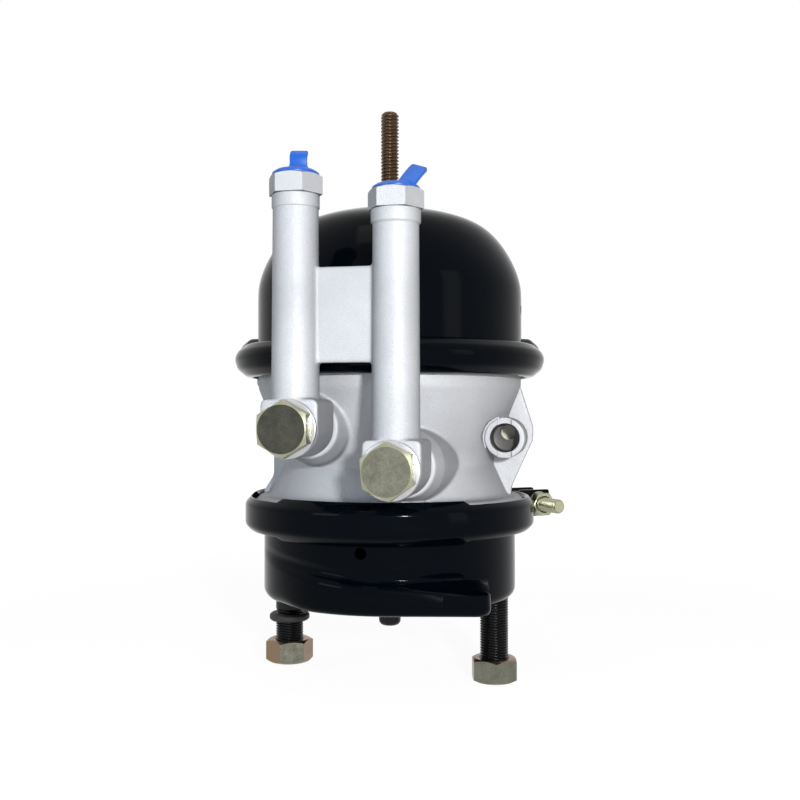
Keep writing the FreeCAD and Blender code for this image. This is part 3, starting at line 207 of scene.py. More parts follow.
class StageSettings(bpy.types.PropertyGroup):
    floor: colour("Floor", (0.86, 0.86, 0.86), "Colour of the floor")
    azimuth: angle("Azimuth", 11.1, "Camera's direction round the chamber")
    pitch: angle("Pitch", 0.7, "Camera's tilt above the horizon")
    distance: length("Distance", 580.0, "Camera's distance from the axis, in mm")
    shift: length("Side step", 5.87, "Camera's offset to the right, in mm")
    height: length("Height", 104.0, "Camera's height over the mounting face, in mm")
    lens: length("Lens", 45.0, "Focal length, in mm")


# Mesh helpers


def rounded(points, radii, steps=7):
    """A run of 2D points with its corners rounded by the given radii."""
    out = []
    last = len(points) - 1
    for place, (point, radius) in enumerate(zip(points, radii)):
        if radius <= 0 or place in (0, last):
            out.append(tuple(point))
            continue
        before, here, after = (Vector(points[i]) for i in (place - 1, place, place + 1))
        back, on = before - here, after - here
        turn = back.angle(on)
        if turn > 3.1:
            out.append(tuple(point))
            continue
        cut = min(radius / math.tan(turn / 2), back.length * 0.49, on.length * 0.49)
        real = cut * math.tan(turn / 2)
        back.normalize()
        on.normalize()
        centre = here + (back + on).normalized() * (real / math.sin(turn / 2))
        start, end = here + back * cut - centre, here + on * cut - centre
        sweep = start.angle(end)
        for step in range(steps + 1):
            share = step / steps
            spoke = start * math.sin((1 - share) * sweep) + end * math.sin(share * sweep)
            out.append(tuple(centre + spoke / math.sin(sweep)))
    return out


def smooth_run(points, steps=5):
    """A Catmull-Rom curve through points."""
    knots = [Vector(p) for p in (points[0], *points, points[-1])]
    out = []
    for a, b, c, d in zip(knots, knots[1:], knots[2:], knots[3:]):
        for step in range(steps):
            t = step / steps
            bend = (2 * a - 5 * b + 4 * c - d) * t * t + (3 * b - a - 3 * c + d) * t ** 3
            out.append(tuple(0.5 * (2 * b + (c - a) * t + bend)))
    return out + [tuple(points[-1])]


def ring_round(points, radii, steps=7):
    """As rounded, for a closed outline."""
    wrapped = [points[-1]] + list(points) + [points[0]]
    return rounded(wrapped, [0] + list(radii) + [0], steps)[1:-1]


def smoothstep(low, high, x):
    share = min(1.0, max(0.0, (x - low) / (high - low)))
    return share * share * (3 - 2 * share)


def to_object(bm, name, finish=None, sharp=32):
    """A mesh object from a bmesh, smooth except over its sharp edges."""
    bmesh.ops.recalc_face_normals(bm, faces=bm.faces)
    mesh = bpy.data.meshes.new(name)
    bm.to_mesh(mesh)
    bm.free()
    thing = bpy.data.objects.new(name, mesh)
    bpy.context.scene.collection.objects.link(thing)
    settle(thing, finish, sharp)
    return thing


def settle(thing, finish=None, sharp=32):
    thing.data.shade_smooth()
    thing.data.set_sharp_from_angle(angle=math.radians(sharp))
    if finish is not None:
        thing.data.materials.clear()
        thing.data.materials.append(finish)
    return thing


def lathe(name, profile, steps=160, closed=True, finish=None, sharp=32):
    """Turns a profile of (radius, height) in mm about Z. The profile may be a function of the angle."""
    bm = bmesh.new()
    rings = []
    for step in range(steps):
        turn = TAU * step / steps
        run = profile(turn) if callable(profile) else profile
        spoke = (math.cos(turn) * MM, math.sin(turn) * MM)
        rings.append([bm.verts.new((r * spoke[0], r * spoke[1], z * MM)) for r, z in run])
    count = len(rings[0])
    reach = count if closed else count - 1
    for here, following in zip(rings, rings[1:] + rings[:1]):
        for i in range(reach):
            j = (i + 1) % count
            bm.faces.new((here[i], following[i], following[j], here[j]))
    bmesh.ops.remove_doubles(bm, verts=bm.verts, dist=1e-7)
    return to_object(bm, name, finish, sharp)


def turned(name, points, radii, steps, sides):
    """A solid turned about Z from an outline with rounded corners."""
    return lathe(name, rounded(points, radii, steps), sides, closed=False)


def bar(name, radius, low, high, sides):
    """A plain round bar about Z."""
    return lathe(name, [(0, low), (radius, low), (radius, high), (0, high)], sides, closed=False)


def prism(name, outline, low, high):
    """An outline of (x, y) in mm, pulled up from one height to another."""
    bm = bmesh.new()
    face = bm.faces.new([bm.verts.new((x * MM, y * MM, low * MM)) for x, y in outline])
    pulled = bmesh.ops.extrude_face_region(bm, geom=[face])
    tops = [item for item in pulled["geom"] if isinstance(item, bmesh.types.BMVert)]
    bmesh.ops.translate(bm, verts=tops, vec=(0, 0, (high - low) * MM))
    return to_object(bm, name)


def hex_outline(flats, turn=0.0):
    corner = flats / math.sqrt(3)
    return [
        (corner * math.cos(turn + TAU * i / 6), corner * math.sin(turn + TAU * i / 6))
        for i in range(6)
    ]


def box_outline(x0, y0, x1, y1):
    return [(x0, y0), (x1, y0), (x1, y1), (x0, y1)]


def move(thing, offset=(0, 0, 0), turn=None):
    """Turns and shifts a mesh in place, in mm, so that its object stays at the origin."""
    matrix = Matrix.Translation(Vector(offset) * MM)
    if turn is not None:
        matrix = matrix @ turn.to_4x4()
    thing.data.transform(matrix)
    return thing


def facing_front():
    """Turns a piece made about Z so that its top faces the front."""
    return Matrix.Rotation(math.pi / 2, 3, "X")


def frontward(thing, offset=(0, 0, 0)):
    """Lays a piece made about Z with its top to the front, at a place in mm."""
    return move(thing, offset, facing_front())


def bake_in(thing):
    """Makes the modifiers part of the mesh."""
    graph = bpy.context.evaluated_depsgraph_get()
    mesh = bpy.data.meshes.new_from_object(thing.evaluated_get(graph))
    thing.modifiers.clear()
    old = thing.data
    thing.data = mesh
    bpy.data.meshes.remove(old)
    return thing


def discard(thing):
    mesh = thing.data
    bpy.data.objects.remove(thing)
    bpy.data.meshes.remove(mesh)


def combine(thing, other, how="DIFFERENCE"):
    """Cuts, joins or crosses two closed meshes, and keeps the first."""
    step = thing.modifiers.new("combine", "BOOLEAN")
    step.object = other
    step.operation = how
    step.solver = "EXACT"
    bake_in(thing)
    discard(other)
    return thing


def soften(thing, width, segments=3, limit=30):
    step = thing.modifiers.new("soften", "BEVEL")
    step.width = width * MM
    step.segments = segments
    step.limit_method = "ANGLE"
    step.angle_limit = math.radians(limit)
    return bake_in(thing)


def gather(name, things):
    """One mesh out of several, kept as they are."""
    bm = bmesh.new()
    for thing in things:
        bm.from_mesh(thing.data)
        discard(thing)
    return to_object(bm, name)


def skin_over(bm, rings):
    """Faces between rings of vertices in a row, with both ends closed."""
    for here, following in zip(rings, rings[1:]):
        for i in range(len(here)):
            j = (i + 1) % len(here)
            bm.faces.new((here[i], here[j], following[j], following[i]))
    bm.faces.new(rings[0][::-1])
    bm.faces.new(rings[-1])


def run_together(name, things, voxel, passes):
    """Joins closed forms as a casting does, with small fillets where they meet."""
    whole = gather(name, things)
    skin = whole.modifiers.new("skin", "REMESH")
    skin.mode = "VOXEL"
    skin.voxel_size = voxel * MM
    ease = whole.modifiers.new("ease", "SMOOTH")
    ease.factor = 0.5
    ease.iterations = passes
    return bake_in(whole)


def threaded(name, radius, depth, pitch, low, high, core, chamfer, sides=56):
    """A threaded rod about Z with its crest following a helix, tapered off at the high end."""
    rows = max(4, int((high - low) / pitch * 6))
    bm = bmesh.new()
    rings = []
    for row in range(rows + 1):
        z = low + (high - low) * row / rows
        ring = []
        for side in range(sides):
            turn = side / sides
            phase = (z / pitch - turn) % 1.0
            crest = 1 - abs(phase * 2 - 1)
            r = radius - depth * smoothstep(0.15, 0.85, crest)
            r = min(r, radius - chamfer + max(0.0, high - z))
            r = core + (r - core) * smoothstep(low, low + pitch, z)
            ring.append(bm.verts.new((r * math.cos(TAU * turn) * MM, r * math.sin(TAU * turn) * MM, z * MM)))
        rings.append(ring)
    skin_over(bm, rings)
    return to_object(bm, name, sharp=50)


def hex_piece(name, flats, low, high, turn=0.0, bore=0.0, chamfer_low=True, chamfer_high=True, face=None):
    """A hexagon with its corners turned down by a lathe, bored when a bore is given."""
    block = prism(name, hex_outline(flats, turn), low - 1, high + 1)
    edge = face if face is not None else flats / 2 * 0.985
    far = flats / math.sqrt(3) + 1
    fall = (far - edge) * math.tan(HEX_CHAMFER)
    run = [(0, low), (edge, low), (far, low + fall), (far, high - fall), (edge, high), (0, high)]
    if not chamfer_low:
        run[1:3] = [(far, low)]
    if not chamfer_high:
        run[-3:-1] = [(far, high)]
    combine(block, lathe("turned", run, 96, closed=False), "INTERSECT")
    if bore > 0:
        mouth = bore + BORE_CHAMFER
        run = [(0, low - 1), (bore + 1, low - 1), (mouth, low), (bore, low + BORE_CHAMFER),
               (bore, high - BORE_CHAMFER), (mouth, high), (bore + 1, high + 1), (0, high + 1)]
        combine(block, lathe("drill", run, 64, closed=False))
    return settle(block, sharp=20)


def coil(name, wire, low_radius, top_radius, low, high, turns, finish, per_turn=40, sides=14):
    """A conical coil of round wire about Z, as a closed tube."""
    steps = int(turns * per_turn)
    bm = bmesh.new()
    rings = []
    for step in range(steps + 1):
        share = step / steps
        turn = TAU * turns * share
        radius = low_radius + (top_radius - low_radius) * share
        rise = low + wire + (high - low - 2 * wire) * share
        centre = Vector((radius * math.cos(turn), radius * math.sin(turn), rise))
        out = Vector((math.cos(turn), math.sin(turn), 0))
        ring = []
        for side in range(sides):
            bend = TAU * side / sides
            spot = centre + out * (wire * math.cos(bend)) + UP * (wire * math.sin(bend))
            ring.append(bm.verts.new(spot * MM))
        rings.append(ring)
    skin_over(bm, rings)
    return to_object(bm, name, finish, 60)


# Node helpers


def feed(tree, value, socket):
    """Gives a socket a plain value, or links it when the value is another socket."""
    if isinstance(value, bpy.types.NodeSocket):
        tree.links.new(value, socket)
    else:
        socket.default_value = value


def feed_all(tree, node, values):
    for label, value in values.items():
        feed(tree, value, node.inputs[label])


def calculate(tree, operation, *values):
    node = tree.nodes.new("ShaderNodeMath")
    node.operation = operation
    for value, socket in zip(values, node.inputs):
        feed(tree, value, socket)
    return node.outputs[0]


def spread(tree, value, *limits):
    """Maps a value from the first two limits to the last two, or to 0 and 1."""
    node = tree.nodes.new("ShaderNodeMapRange")
    feed_all(tree, node, dict(zip(("From Min", "From Max", "To Min", "To Max"), limits)))
    feed(tree, value, node.inputs["Value"])
    return node.outputs[0]


def noise(tree, scale, detail=3.0, rough=0.5):
    """Noise over the object's own coordinates."""
    where = tree.nodes.new("ShaderNodeTexCoord").outputs["Object"]
    node = tree.nodes.new("ShaderNodeTexNoise")
    feed_all(tree, node, {"Vector": where, "Scale": scale, "Detail": detail, "Roughness": rough})
    return node.outputs["Fac"]


def mix_colours(tree, factor, first, second):
    node = tree.nodes.new("ShaderNodeMix")
    node.data_type = "RGBA"
    feed_all(tree, node, {"Factor": factor, "A": first, "B": second})
    return node.outputs["Result"]


def mix_shaders(tree, factor, first, second):
    node = tree.nodes.new("ShaderNodeMixShader")
    for value, socket in zip((factor, first, second), node.inputs):
        tree.links.new(value, socket)
    return node.outputs[0]


def make_group(name, inputs, outputs):
    """A node group; an input is a colour when its value is a tuple, and else a number."""
    tree = bpy.data.node_groups.new(name, "ShaderNodeTree")
    for label, value in inputs.items():
        kind = "NodeSocketColor" if isinstance(value, tuple) else "NodeSocketFloat"
        tree.interface.new_socket(label, in_out="INPUT", socket_type=kind).default_value = value
    for label, kind in outputs.items():
        tree.interface.new_socket(label, in_out="OUTPUT", socket_type=kind)
    return tree, tree.nodes.new("NodeGroupInput").outputs, tree.nodes.new("NodeGroupOutput").inputs


def tone_group():
    """Slow and fine drift between two colours."""
    inputs = {
        "Main": (0.5, 0.5, 0.5, 1),
        "Other": (0.4, 0.4, 0.4, 1),
        "Scale": 20.0,
        "Fine Scale": 400.0,
        "Amount": 0.5,
    }
    tree, give, take = make_group("tone drift", inputs, {"Color": "NodeSocketColor"})
    slow = noise(tree, give["Scale"])
    fine = noise(tree, give["Fine Scale"], 2.0)
    both = calculate(tree, "MULTIPLY_ADD", fine, 0.5, calculate(tree, "MULTIPLY", slow, 0.5))
    share = calculate(tree, "MULTIPLY", spread(tree, both, 0.35, 0.65), give["Amount"])
    tree.links.new(mix_colours(tree, share, give["Main"], give["Other"]), take["Color"])
    return tree


def grain_group():
    """A bump of fine grain over slower waves, with its depths in metres."""
    inputs = {"Fine Scale": 2000.0, "Slow Scale": 200.0, "Fine Depth": 0.00003, "Slow Depth": 0.00003}
    tree, give, take = make_group("surface grain", inputs, {"Normal": "NodeSocketVector"})
    fine = noise(tree, give["Fine Scale"], 2.0, 0.6)
    slow = noise(tree, give["Slow Scale"], 1.0)
    low = calculate(tree, "MULTIPLY", fine, give["Fine Depth"])
    height = calculate(tree, "MULTIPLY_ADD", slow, give["Slow Depth"], low)
    bump = tree.nodes.new("ShaderNodeBump")
    feed_all(tree, bump, {"Strength": 1.0, "Distance": 1.0, "Height": height})
    tree.links.new(bump.outputs["Normal"], take["Normal"])
    return tree


def rough_group():
    """Roughness that drifts between two values, with marks of handling."""
    inputs = {"Low": 0.3, "High": 0.5, "Scale": 40.0}
    tree, give, take = make_group("handling marks", inputs, {"Roughness": "NodeSocketFloat"})
    cloud = noise(tree, give["Scale"], 6.0, 0.65)
    tree.links.new(spread(tree, cloud, 0.35, 0.68, give["Low"], give["High"]), take["Roughness"])
    return tree


def add_group(tree, name, maker, values):
    """A node of a shared group, which is made when it is first asked for."""
    node = tree.nodes.new("ShaderNodeGroup")
    node.node_tree = bpy.data.node_groups.get(name) or maker()
    feed_all(tree, node, values)
    return node.outputs[0]


# Finishes


def finish_of(name, main, other, amount, tone=(20.0, 400.0), metal=0.0, rough=(0.35, 0.5), marks=40.0,
              grain=(2000.0, 200.0, 0.00002, 0.00002), specular=0.5, edge=0.0):
    """A procedural finish: drifting tone, uneven roughness and grain in the normal; an edge share above
    nought paints shade into the colour, darkening it toward the outline by view angle.
    """
    found = bpy.data.materials.get(name)
    if found is not None:
        return found
    material = bpy.data.materials.new(name)
    material.use_nodes = True
    tree = material.node_tree
    tones = {"Main": (*main, 1), "Other": (*other, 1), "Amount": amount}
    tones.update(zip(("Scale", "Fine Scale"), tone))
    tint = add_group(tree, "tone drift", tone_group, tones)
    # Painted shade: the colour darkens toward the outline by view angle, as much as the edge share asks
    if edge > 0:
        rim = tree.nodes.new("ShaderNodeLayerWeight")
        rim.inputs["Blend"].default_value = EDGE_SHADE_BLEND
        tint = mix_colours(tree, rim.outputs["Facing"], tint, (*shade(main, 1 - edge), 1))
    worn = {"Low": rough[0], "High": rough[1], "Scale": marks}
    bumps = dict(zip(("Fine Scale", "Slow Scale", "Fine Depth", "Slow Depth"), grain))
    feed_all(tree, tree.nodes["Principled BSDF"], {
        "Metallic": metal,
        "Specular IOR Level": specular,
        "Base Color": tint,
        "Roughness": add_group(tree, "handling marks", rough_group, worn),
        "Normal": add_group(tree, "surface grain", grain_group, bumps),
    })
    return material


def picked(name):
    """One of the colours of the finish settings."""
    return tuple(getattr(bpy.context.scene.chamber_finish, name))


def shade(base, *shares):
    """A colour times one share, or times a share for each of red, green and blue."""
    return tuple(x * share for x, share in zip(base, shares if len(shares) == 3 else shares * 3))


def black_enamel():
    c = picked("enamel")
    lighter = tuple(x * 1.6 + 0.0003 for x in c)
    return finish_of("black enamel", c, lighter, 0.5, (14.0, 260.0), rough=(0.09, 0.14), marks=30.0,
                     grain=(900.0, 150.0, 0.000001, 0.00002), specular=0.045)


def cast_aluminium():
    c = picked("casting")
    # The edge share of 0.72 is painted shade, darkening the casting toward its outline
    return finish_of("blasted aluminium", c, shade(c, 0.58), 0.55, (25.0, 1900.0), metal=0.12,
                     rough=(0.42, 0.54), marks=60.0, grain=(1700.0, 260.0, 0.00022, 0.00007), specular=0.4,
                     edge=0.72)


# Dark aluminium for the inside of the vent bore: painted shade, standing for the shadow in the bore
def bore_painted_shade():
    return finish_of("shaded bore", (0.06, 0.06, 0.062), (0.10, 0.10, 0.10), 0.6, (60.0, 900.0), metal=0.2,
                     rough=(0.35, 0.5))


def worn_zinc(name, share):
    main = shade((0.135, 0.138, 0.105), share)
    other = shade((0.24, 0.235, 0.19), share)
    return finish_of(name, main, other, 0.8, (160.0, 1200.0), metal=0.9, rough=(0.26, 0.46), marks=260.0,
                     grain=(1500.0, 500.0, 0.00003, 0.00004))


def yellow_zinc():
    c = picked("zinc")
    return finish_of("yellow zinc", c, shade(c, 0.78, 0.92, 0.86), 0.9, (70.0, 700.0), metal=0.95,
                     rough=(0.24, 0.42), marks=120.0, grain=(1500.0, 300.0, 0.00001, 0.00003))


def rosy_zinc():
    c = picked("zinc")
    return finish_of("rosy zinc", shade(c, 0.62, 0.40, 0.36), shade(c, 0.55, 0.45, 0.40), 0.9, (90.0, 600.0),
                     metal=0.95, rough=(0.22, 0.38), marks=150.0, grain=(1500.0, 300.0, 0.00001, 0.00002))


def bronze_zinc():
    c = picked("bronze")
    return finish_of("bronze zinc", c, shade(c, 0.6), 0.7, (90.0, 900.0), metal=0.9, rough=(0.3, 0.45),
                     marks=200.0)


def blue_plastic():
    c = picked("cap")
    return finish_of("blue cap plastic", c, shade(c, 0.75), 0.4, (60.0, 500.0), rough=(0.30, 0.42),
                     grain=(1200.0, 240.0, 0.000006, 0.00002))


def stud_black():
    c = picked("stud")
    return finish_of("black oxide", c, shade(c, 2.2), 0.6, (80.0, 900.0), metal=0.6, rough=(0.32, 0.5))


def plain_rubber():
    return finish_of("moulded rubber", (0.012, 0.012, 0.013), (0.022, 0.021, 0.02), 0.5, (50.0, 800.0),
                     rough=(0.55, 0.72), grain=(1600.0, 200.0, 0.00002, 0.00003))


def fabric_rubber():
    return finish_of("fabric backed rubber", (0.020, 0.020, 0.022), (0.034, 0.033, 0.032), 0.6,
                     (60.0, 1400.0), rough=(0.6, 0.78), grain=(1100.0, 500.0, 0.00008, 0.00005))


def bright_steel():
    return finish_of("machined steel", (0.52, 0.52, 0.53), (0.42, 0.42, 0.44), 0.6, (60.0, 1200.0),
                     metal=1.0, rough=(0.24, 0.38), marks=90.0)


def spring_paint():
    return finish_of("spring paint", (0.035, 0.038, 0.045), (0.06, 0.06, 0.07), 0.5, (40.0, 500.0),
                     rough=(0.35, 0.5), grain=(900.0, 150.0, 0.00001, 0.00005))


def guide_plastic():
    return finish_of("guide plastic", (0.78, 0.75, 0.66), (0.68, 0.65, 0.56), 0.5, rough=(0.4, 0.55))


# Pieces


def place(piece, body, *nodes, slot=None):
    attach(piece, body)
    if nodes:
        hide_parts(*nodes)


def ledge_outline(s, turn):
    """Radius of the ledge's outline at an angle from its front, positive to the right."""
    cam = s.wall_radius + s.ledge_push
    if turn <= 0:
        return s.wall_radius + s.ledge_push * smoothstep(-1.35, -0.5, turn)
    if turn > math.pi / 2:
        return s.wall_radius
    centre = Vector((s.ledge_side - s.ledge_corner, cam - s.ledge_corner))
    way = Vector((math.sin(turn), math.cos(turn)))
    front = cam / way.y
    if front * way.x <= centre.x:
        return front
    side = s.ledge_side / way.x
    if side * way.y <= centre.y:
        return max(side, s.wall_radius)
    along = centre.dot(way)
    return along + math.sqrt(max(0.0, along * along - centre.length_squared + s.ledge_corner ** 2))


def shell_profile(s, turn):
    """Section of the lower shell at a world angle: floor, ledge, wall, flare and the hollow inside."""
    bearing = (turn + math.pi / 2 - s.ledge_turn + math.pi) % TAU - math.pi
    reach = ledge_outline(s, bearing)
    pressed = smoothstep(0.3, 2.6, reach - s.wall_radius)
    beside = smoothstep(0.55, 0.85, abs(math.cos(turn)))
    corner = s.corner * (1 - beside) + s.stud_corner * beside
    corner = corner * (1 - pressed) + s.ledge_foot * pressed
    tilt = math.degrees(bearing) + 12
    shelf = s.ledge_height - (0.051 if tilt > 0 else 0.13) * tilt
    run = [(s.rod_hole, s.floor), (s.rod_hole, 0.6), (s.rod_hole + 0.6, 0.0), (40.0, 0.0)]
    for step in range(9):
        bend = math.pi / 2 * step / 8
        run.append((reach - corner + corner * math.sin(bend), corner - corner * math.cos(bend)))
    low = max(corner + 0.4, shelf - 2.5)
    high = max(low + 2.0, shelf + 9.5)
    dent = s.valley * smoothstep(-1.45, -0.7, bearing) * (1 - smoothstep(0.35, 0.85, bearing))
    for step in range(1, 17):
        share = step / 16
        fall = smoothstep(0, 0.62, share)
        hollow = dent * math.sin(math.pi * smoothstep(0.12, 1.0, share))
        run.append((reach + (s.wall_radius - reach) * fall - hollow, low + (high - low) * share))
    flare = [(s.wall_radius, high + 1), (s.wall_radius, 37.0), (74.0, 38.4), (80.0, 43.0), (80.0, SHELL_TOP)]
    run += rounded(flare, [0, 4, 3, 1.2, 0], 4)
    inner = s.wall_radius - s.wall
    r = s.stud_corner - s.wall + 0.5
    run += [(inner + 0.5, SHELL_TOP), (inner, SHELL_TOP - 0.5), (inner, 20.0)]
    for step in range(7):
        bend = math.pi / 2 * step / 6
        run.append((inner - r + r * math.cos(bend), s.floor + r - r * math.sin(bend)))
    return run


def build_lower_shell(s):
    shell = lathe("lower_shell", lambda turn: shell_profile(s, turn), 540, sharp=40)
    seat = [(0, 3.0), (10.4, 3.0), (10.4, SEAT_TOP), (0, SEAT_TOP)]
    for x in (-STUD_X, STUD_X):
        combine(shell, move(turned("seat", seat, [0, 0, 0.5, 0], 3, 72), (x, 0, 0)), "UNION")
    for x in (-STUD_X, STUD_X):
        combine(shell, move(bar("drill", 8.25, -1, SEAT_TOP + 1, 48), (x, 0, 0)))
    vent = bar("vent", s.vent_radius, -20, 20, 40)
    combine(shell, frontward(vent, (-0.5, -s.wall_radius, s.vent_height)))
    settle(shell, black_enamel(), 34)
    place(shell, ROOT, "service_housing", slot="black_paint")


def build_dome(s):
    w = s.wall
    rim = low_of("spring_housing")
    mouth = 5.9
    crown = smooth_run([
        (mouth, 223.0), (10.6, 222.9), (13.0, 221.6), (22.0, 219.4), (34.0, 216.8), (44.0, 213.9),
        (52.0, 210.4), (58.5, 205.8), (64.5, 199.2), (69.5, 191.4), (73.2, 183.3), (75.3, 175.5),
        (s.dome_radius, 168.0),
    ])
    outer = crown + [(s.dome_radius, rim + w), (RIM_RADIUS - 0.1, rim + w), (RIM_RADIUS - 0.1, rim)]
    inner = [(s.dome_radius - w, rim)] + [(max(mouth, r - w * 0.9), z - w * 0.7) for r, z in crown][::-1]
    dome = lathe("dome", outer + inner, 200, sharp=40)
    vent = bar("vent", 2.8, -12, 12, 32)
    combine(dome, move(vent, (s.dome_radius, 0, s.dome_vent_height), Matrix.Rotation(math.pi / 2, 3, "Y")))
    settle(dome, black_enamel(), 40)
    place(dome, ROOT, "spring_housing", slot="black_paint")


def build_crimp_ring(b):
    low, full = low_of("crimp_ring"), top_of("crimp_ring")
    r = b.crimp_radius
    inner, pinch = 76.2, 84.3
    slot_low, slot_high = 126.7, 140.0

    def profile(turn):
        away = math.sin(turn - b.crimp_turn)
        high = full - b.crimp_drop * (1 - smoothstep(-0.06, 0.12, away))
        outline = [
            (inner, high), (r - 6.4, high - 0.2), (r - 1.6, high - 4.2), (r, 134.2), (r - 1.6, low + 5.0),
            (r - 6.6, low + 0.9), (78.5, low), (78.5, slot_low), (pinch, slot_low), (pinch, slot_high),
            (inner, slot_high),
        ]
        return ring_round(outline, [0.5, 4.6, 6.0, 10.0, 6.0, 5.0, 1.0, 0.4, 0.4, 0.4, 0.4], 8)

    ring = lathe("crimp_ring", profile, 360, finish=black_enamel(), sharp=40)
    place(ring, ROOT, "crimp_ring", slot="black_paint")


def band_run(b, reach):
    """Section of the clamp band's channel for lips that reach in that far."""
    low, high = 42.7, 52.0
    lip = b.seat_radius - reach
    rise = reach * 5.5 / 6.0
    w = b.wall
    outline = [
        (lip, low - rise), (b.seat_radius, low), (b.seat_radius, high), (lip, high + rise),
        (lip + w * 0.7, high + rise + w), (b.seat_radius + w, high + w * 0.6),
        (b.seat_radius + w, low - w * 0.6), (lip + w * 0.7, low - rise - w),
    ]
    return ring_round(outline, [0.3, 0.6, 0.6, 0.3, 1.2, 4.5, 4.5, 1.2], 5)


def build_clamp_band(b):
    centre = (b.wide_start + b.wide_end) / 2
    half = (b.wide_end - b.wide_start) / 2
    mirror = 2 * b.clamp_turn - centre
    step = math.radians(1.2)

    def profile(turn):
        bearing = turn + math.pi / 2
        wide = 0.0
        for middle in (centre, mirror):
            off = abs((bearing - middle + math.pi) % TAU - math.pi)
            wide = max(wide, 1 - smoothstep(half - step, half + step, off))
        return band_run(b, b.narrow_lip + (b.wide_lip - b.narrow_lip) * wide)

    band = lathe("clamp_band", profile, 480, sharp=40)
    turn = Matrix.Rotation(b.clamp_turn - math.pi / 2, 3, "Z")
    near, far = 7, 11
    combine(band, move(prism("gap", box_outline(70, -near, 110, near), 30, 65), turn=turn))
    lugs = []
    for inside, outside in ((-far, -near), (near, far)):
        lug = prism("lug", box_outline(80.6, inside, 101.5, outside), 41.0, 57.0)
        soften(lug, 1.2, 3)
        combine(lug, frontward(bar("drill", 5.0, -20, 20, 32), CLAMP_BOLT))
        lugs.append(move(lug, turn=turn))
    band = gather("clamp_band", [band] + lugs)
    settle(band, black_enamel(), 40)
    place(band, ROOT, "clamp_band", slot="black_paint")
    # The bolt lies along the tangent, with its flanged nut towards the front.
    aim = turn @ facing_front()
    middle = turn @ Vector(CLAMP_BOLT)
    radius = 4.2
    rod = threaded("clamp_thread", radius, 0.7, 1.25, 11.0, 34.2, 4.15, 1.1, 40)
    shank = bar("shank", radius, -far, far, 40)
    head = hex_piece("head", 13.0, -17.0, -11.0, chamfer_high=False)
    bolt = gather("clamp_bolt", [rod, shank, head])
    move(settle(bolt, yellow_zinc(), 40), middle, aim)
    place(bolt, ROOT, "clamp_bolt", slot="yellow_zinc")
    flange = [(4.3, 11.0), (7.4, 11.0), (7.4, 11.6), (6.4, 12.6), (4.3, 12.6)]
    collar = lathe("collar", ring_round(flange, [0, 0.2, 0.4, 0.6, 0], 3), 56)
    nut = gather("clamp_nut", [collar, hex_piece("nut", 13.0, 12.0, 18.0, bore=4.25, chamfer_low=False)])
    move(settle(nut, yellow_zinc(), 20), middle, aim)
    place(nut, ROOT, "clamp_nut", slot="yellow_zinc")


def tube_block(radius_low, radius_high, low, high):
    """A plain or tapered round block about Z."""
    outline = [(0, low), (radius_low, low), (radius_high, high), (0, high)]
    return turned("round", outline, [0, 0, 1.0, 0], 4, 72)


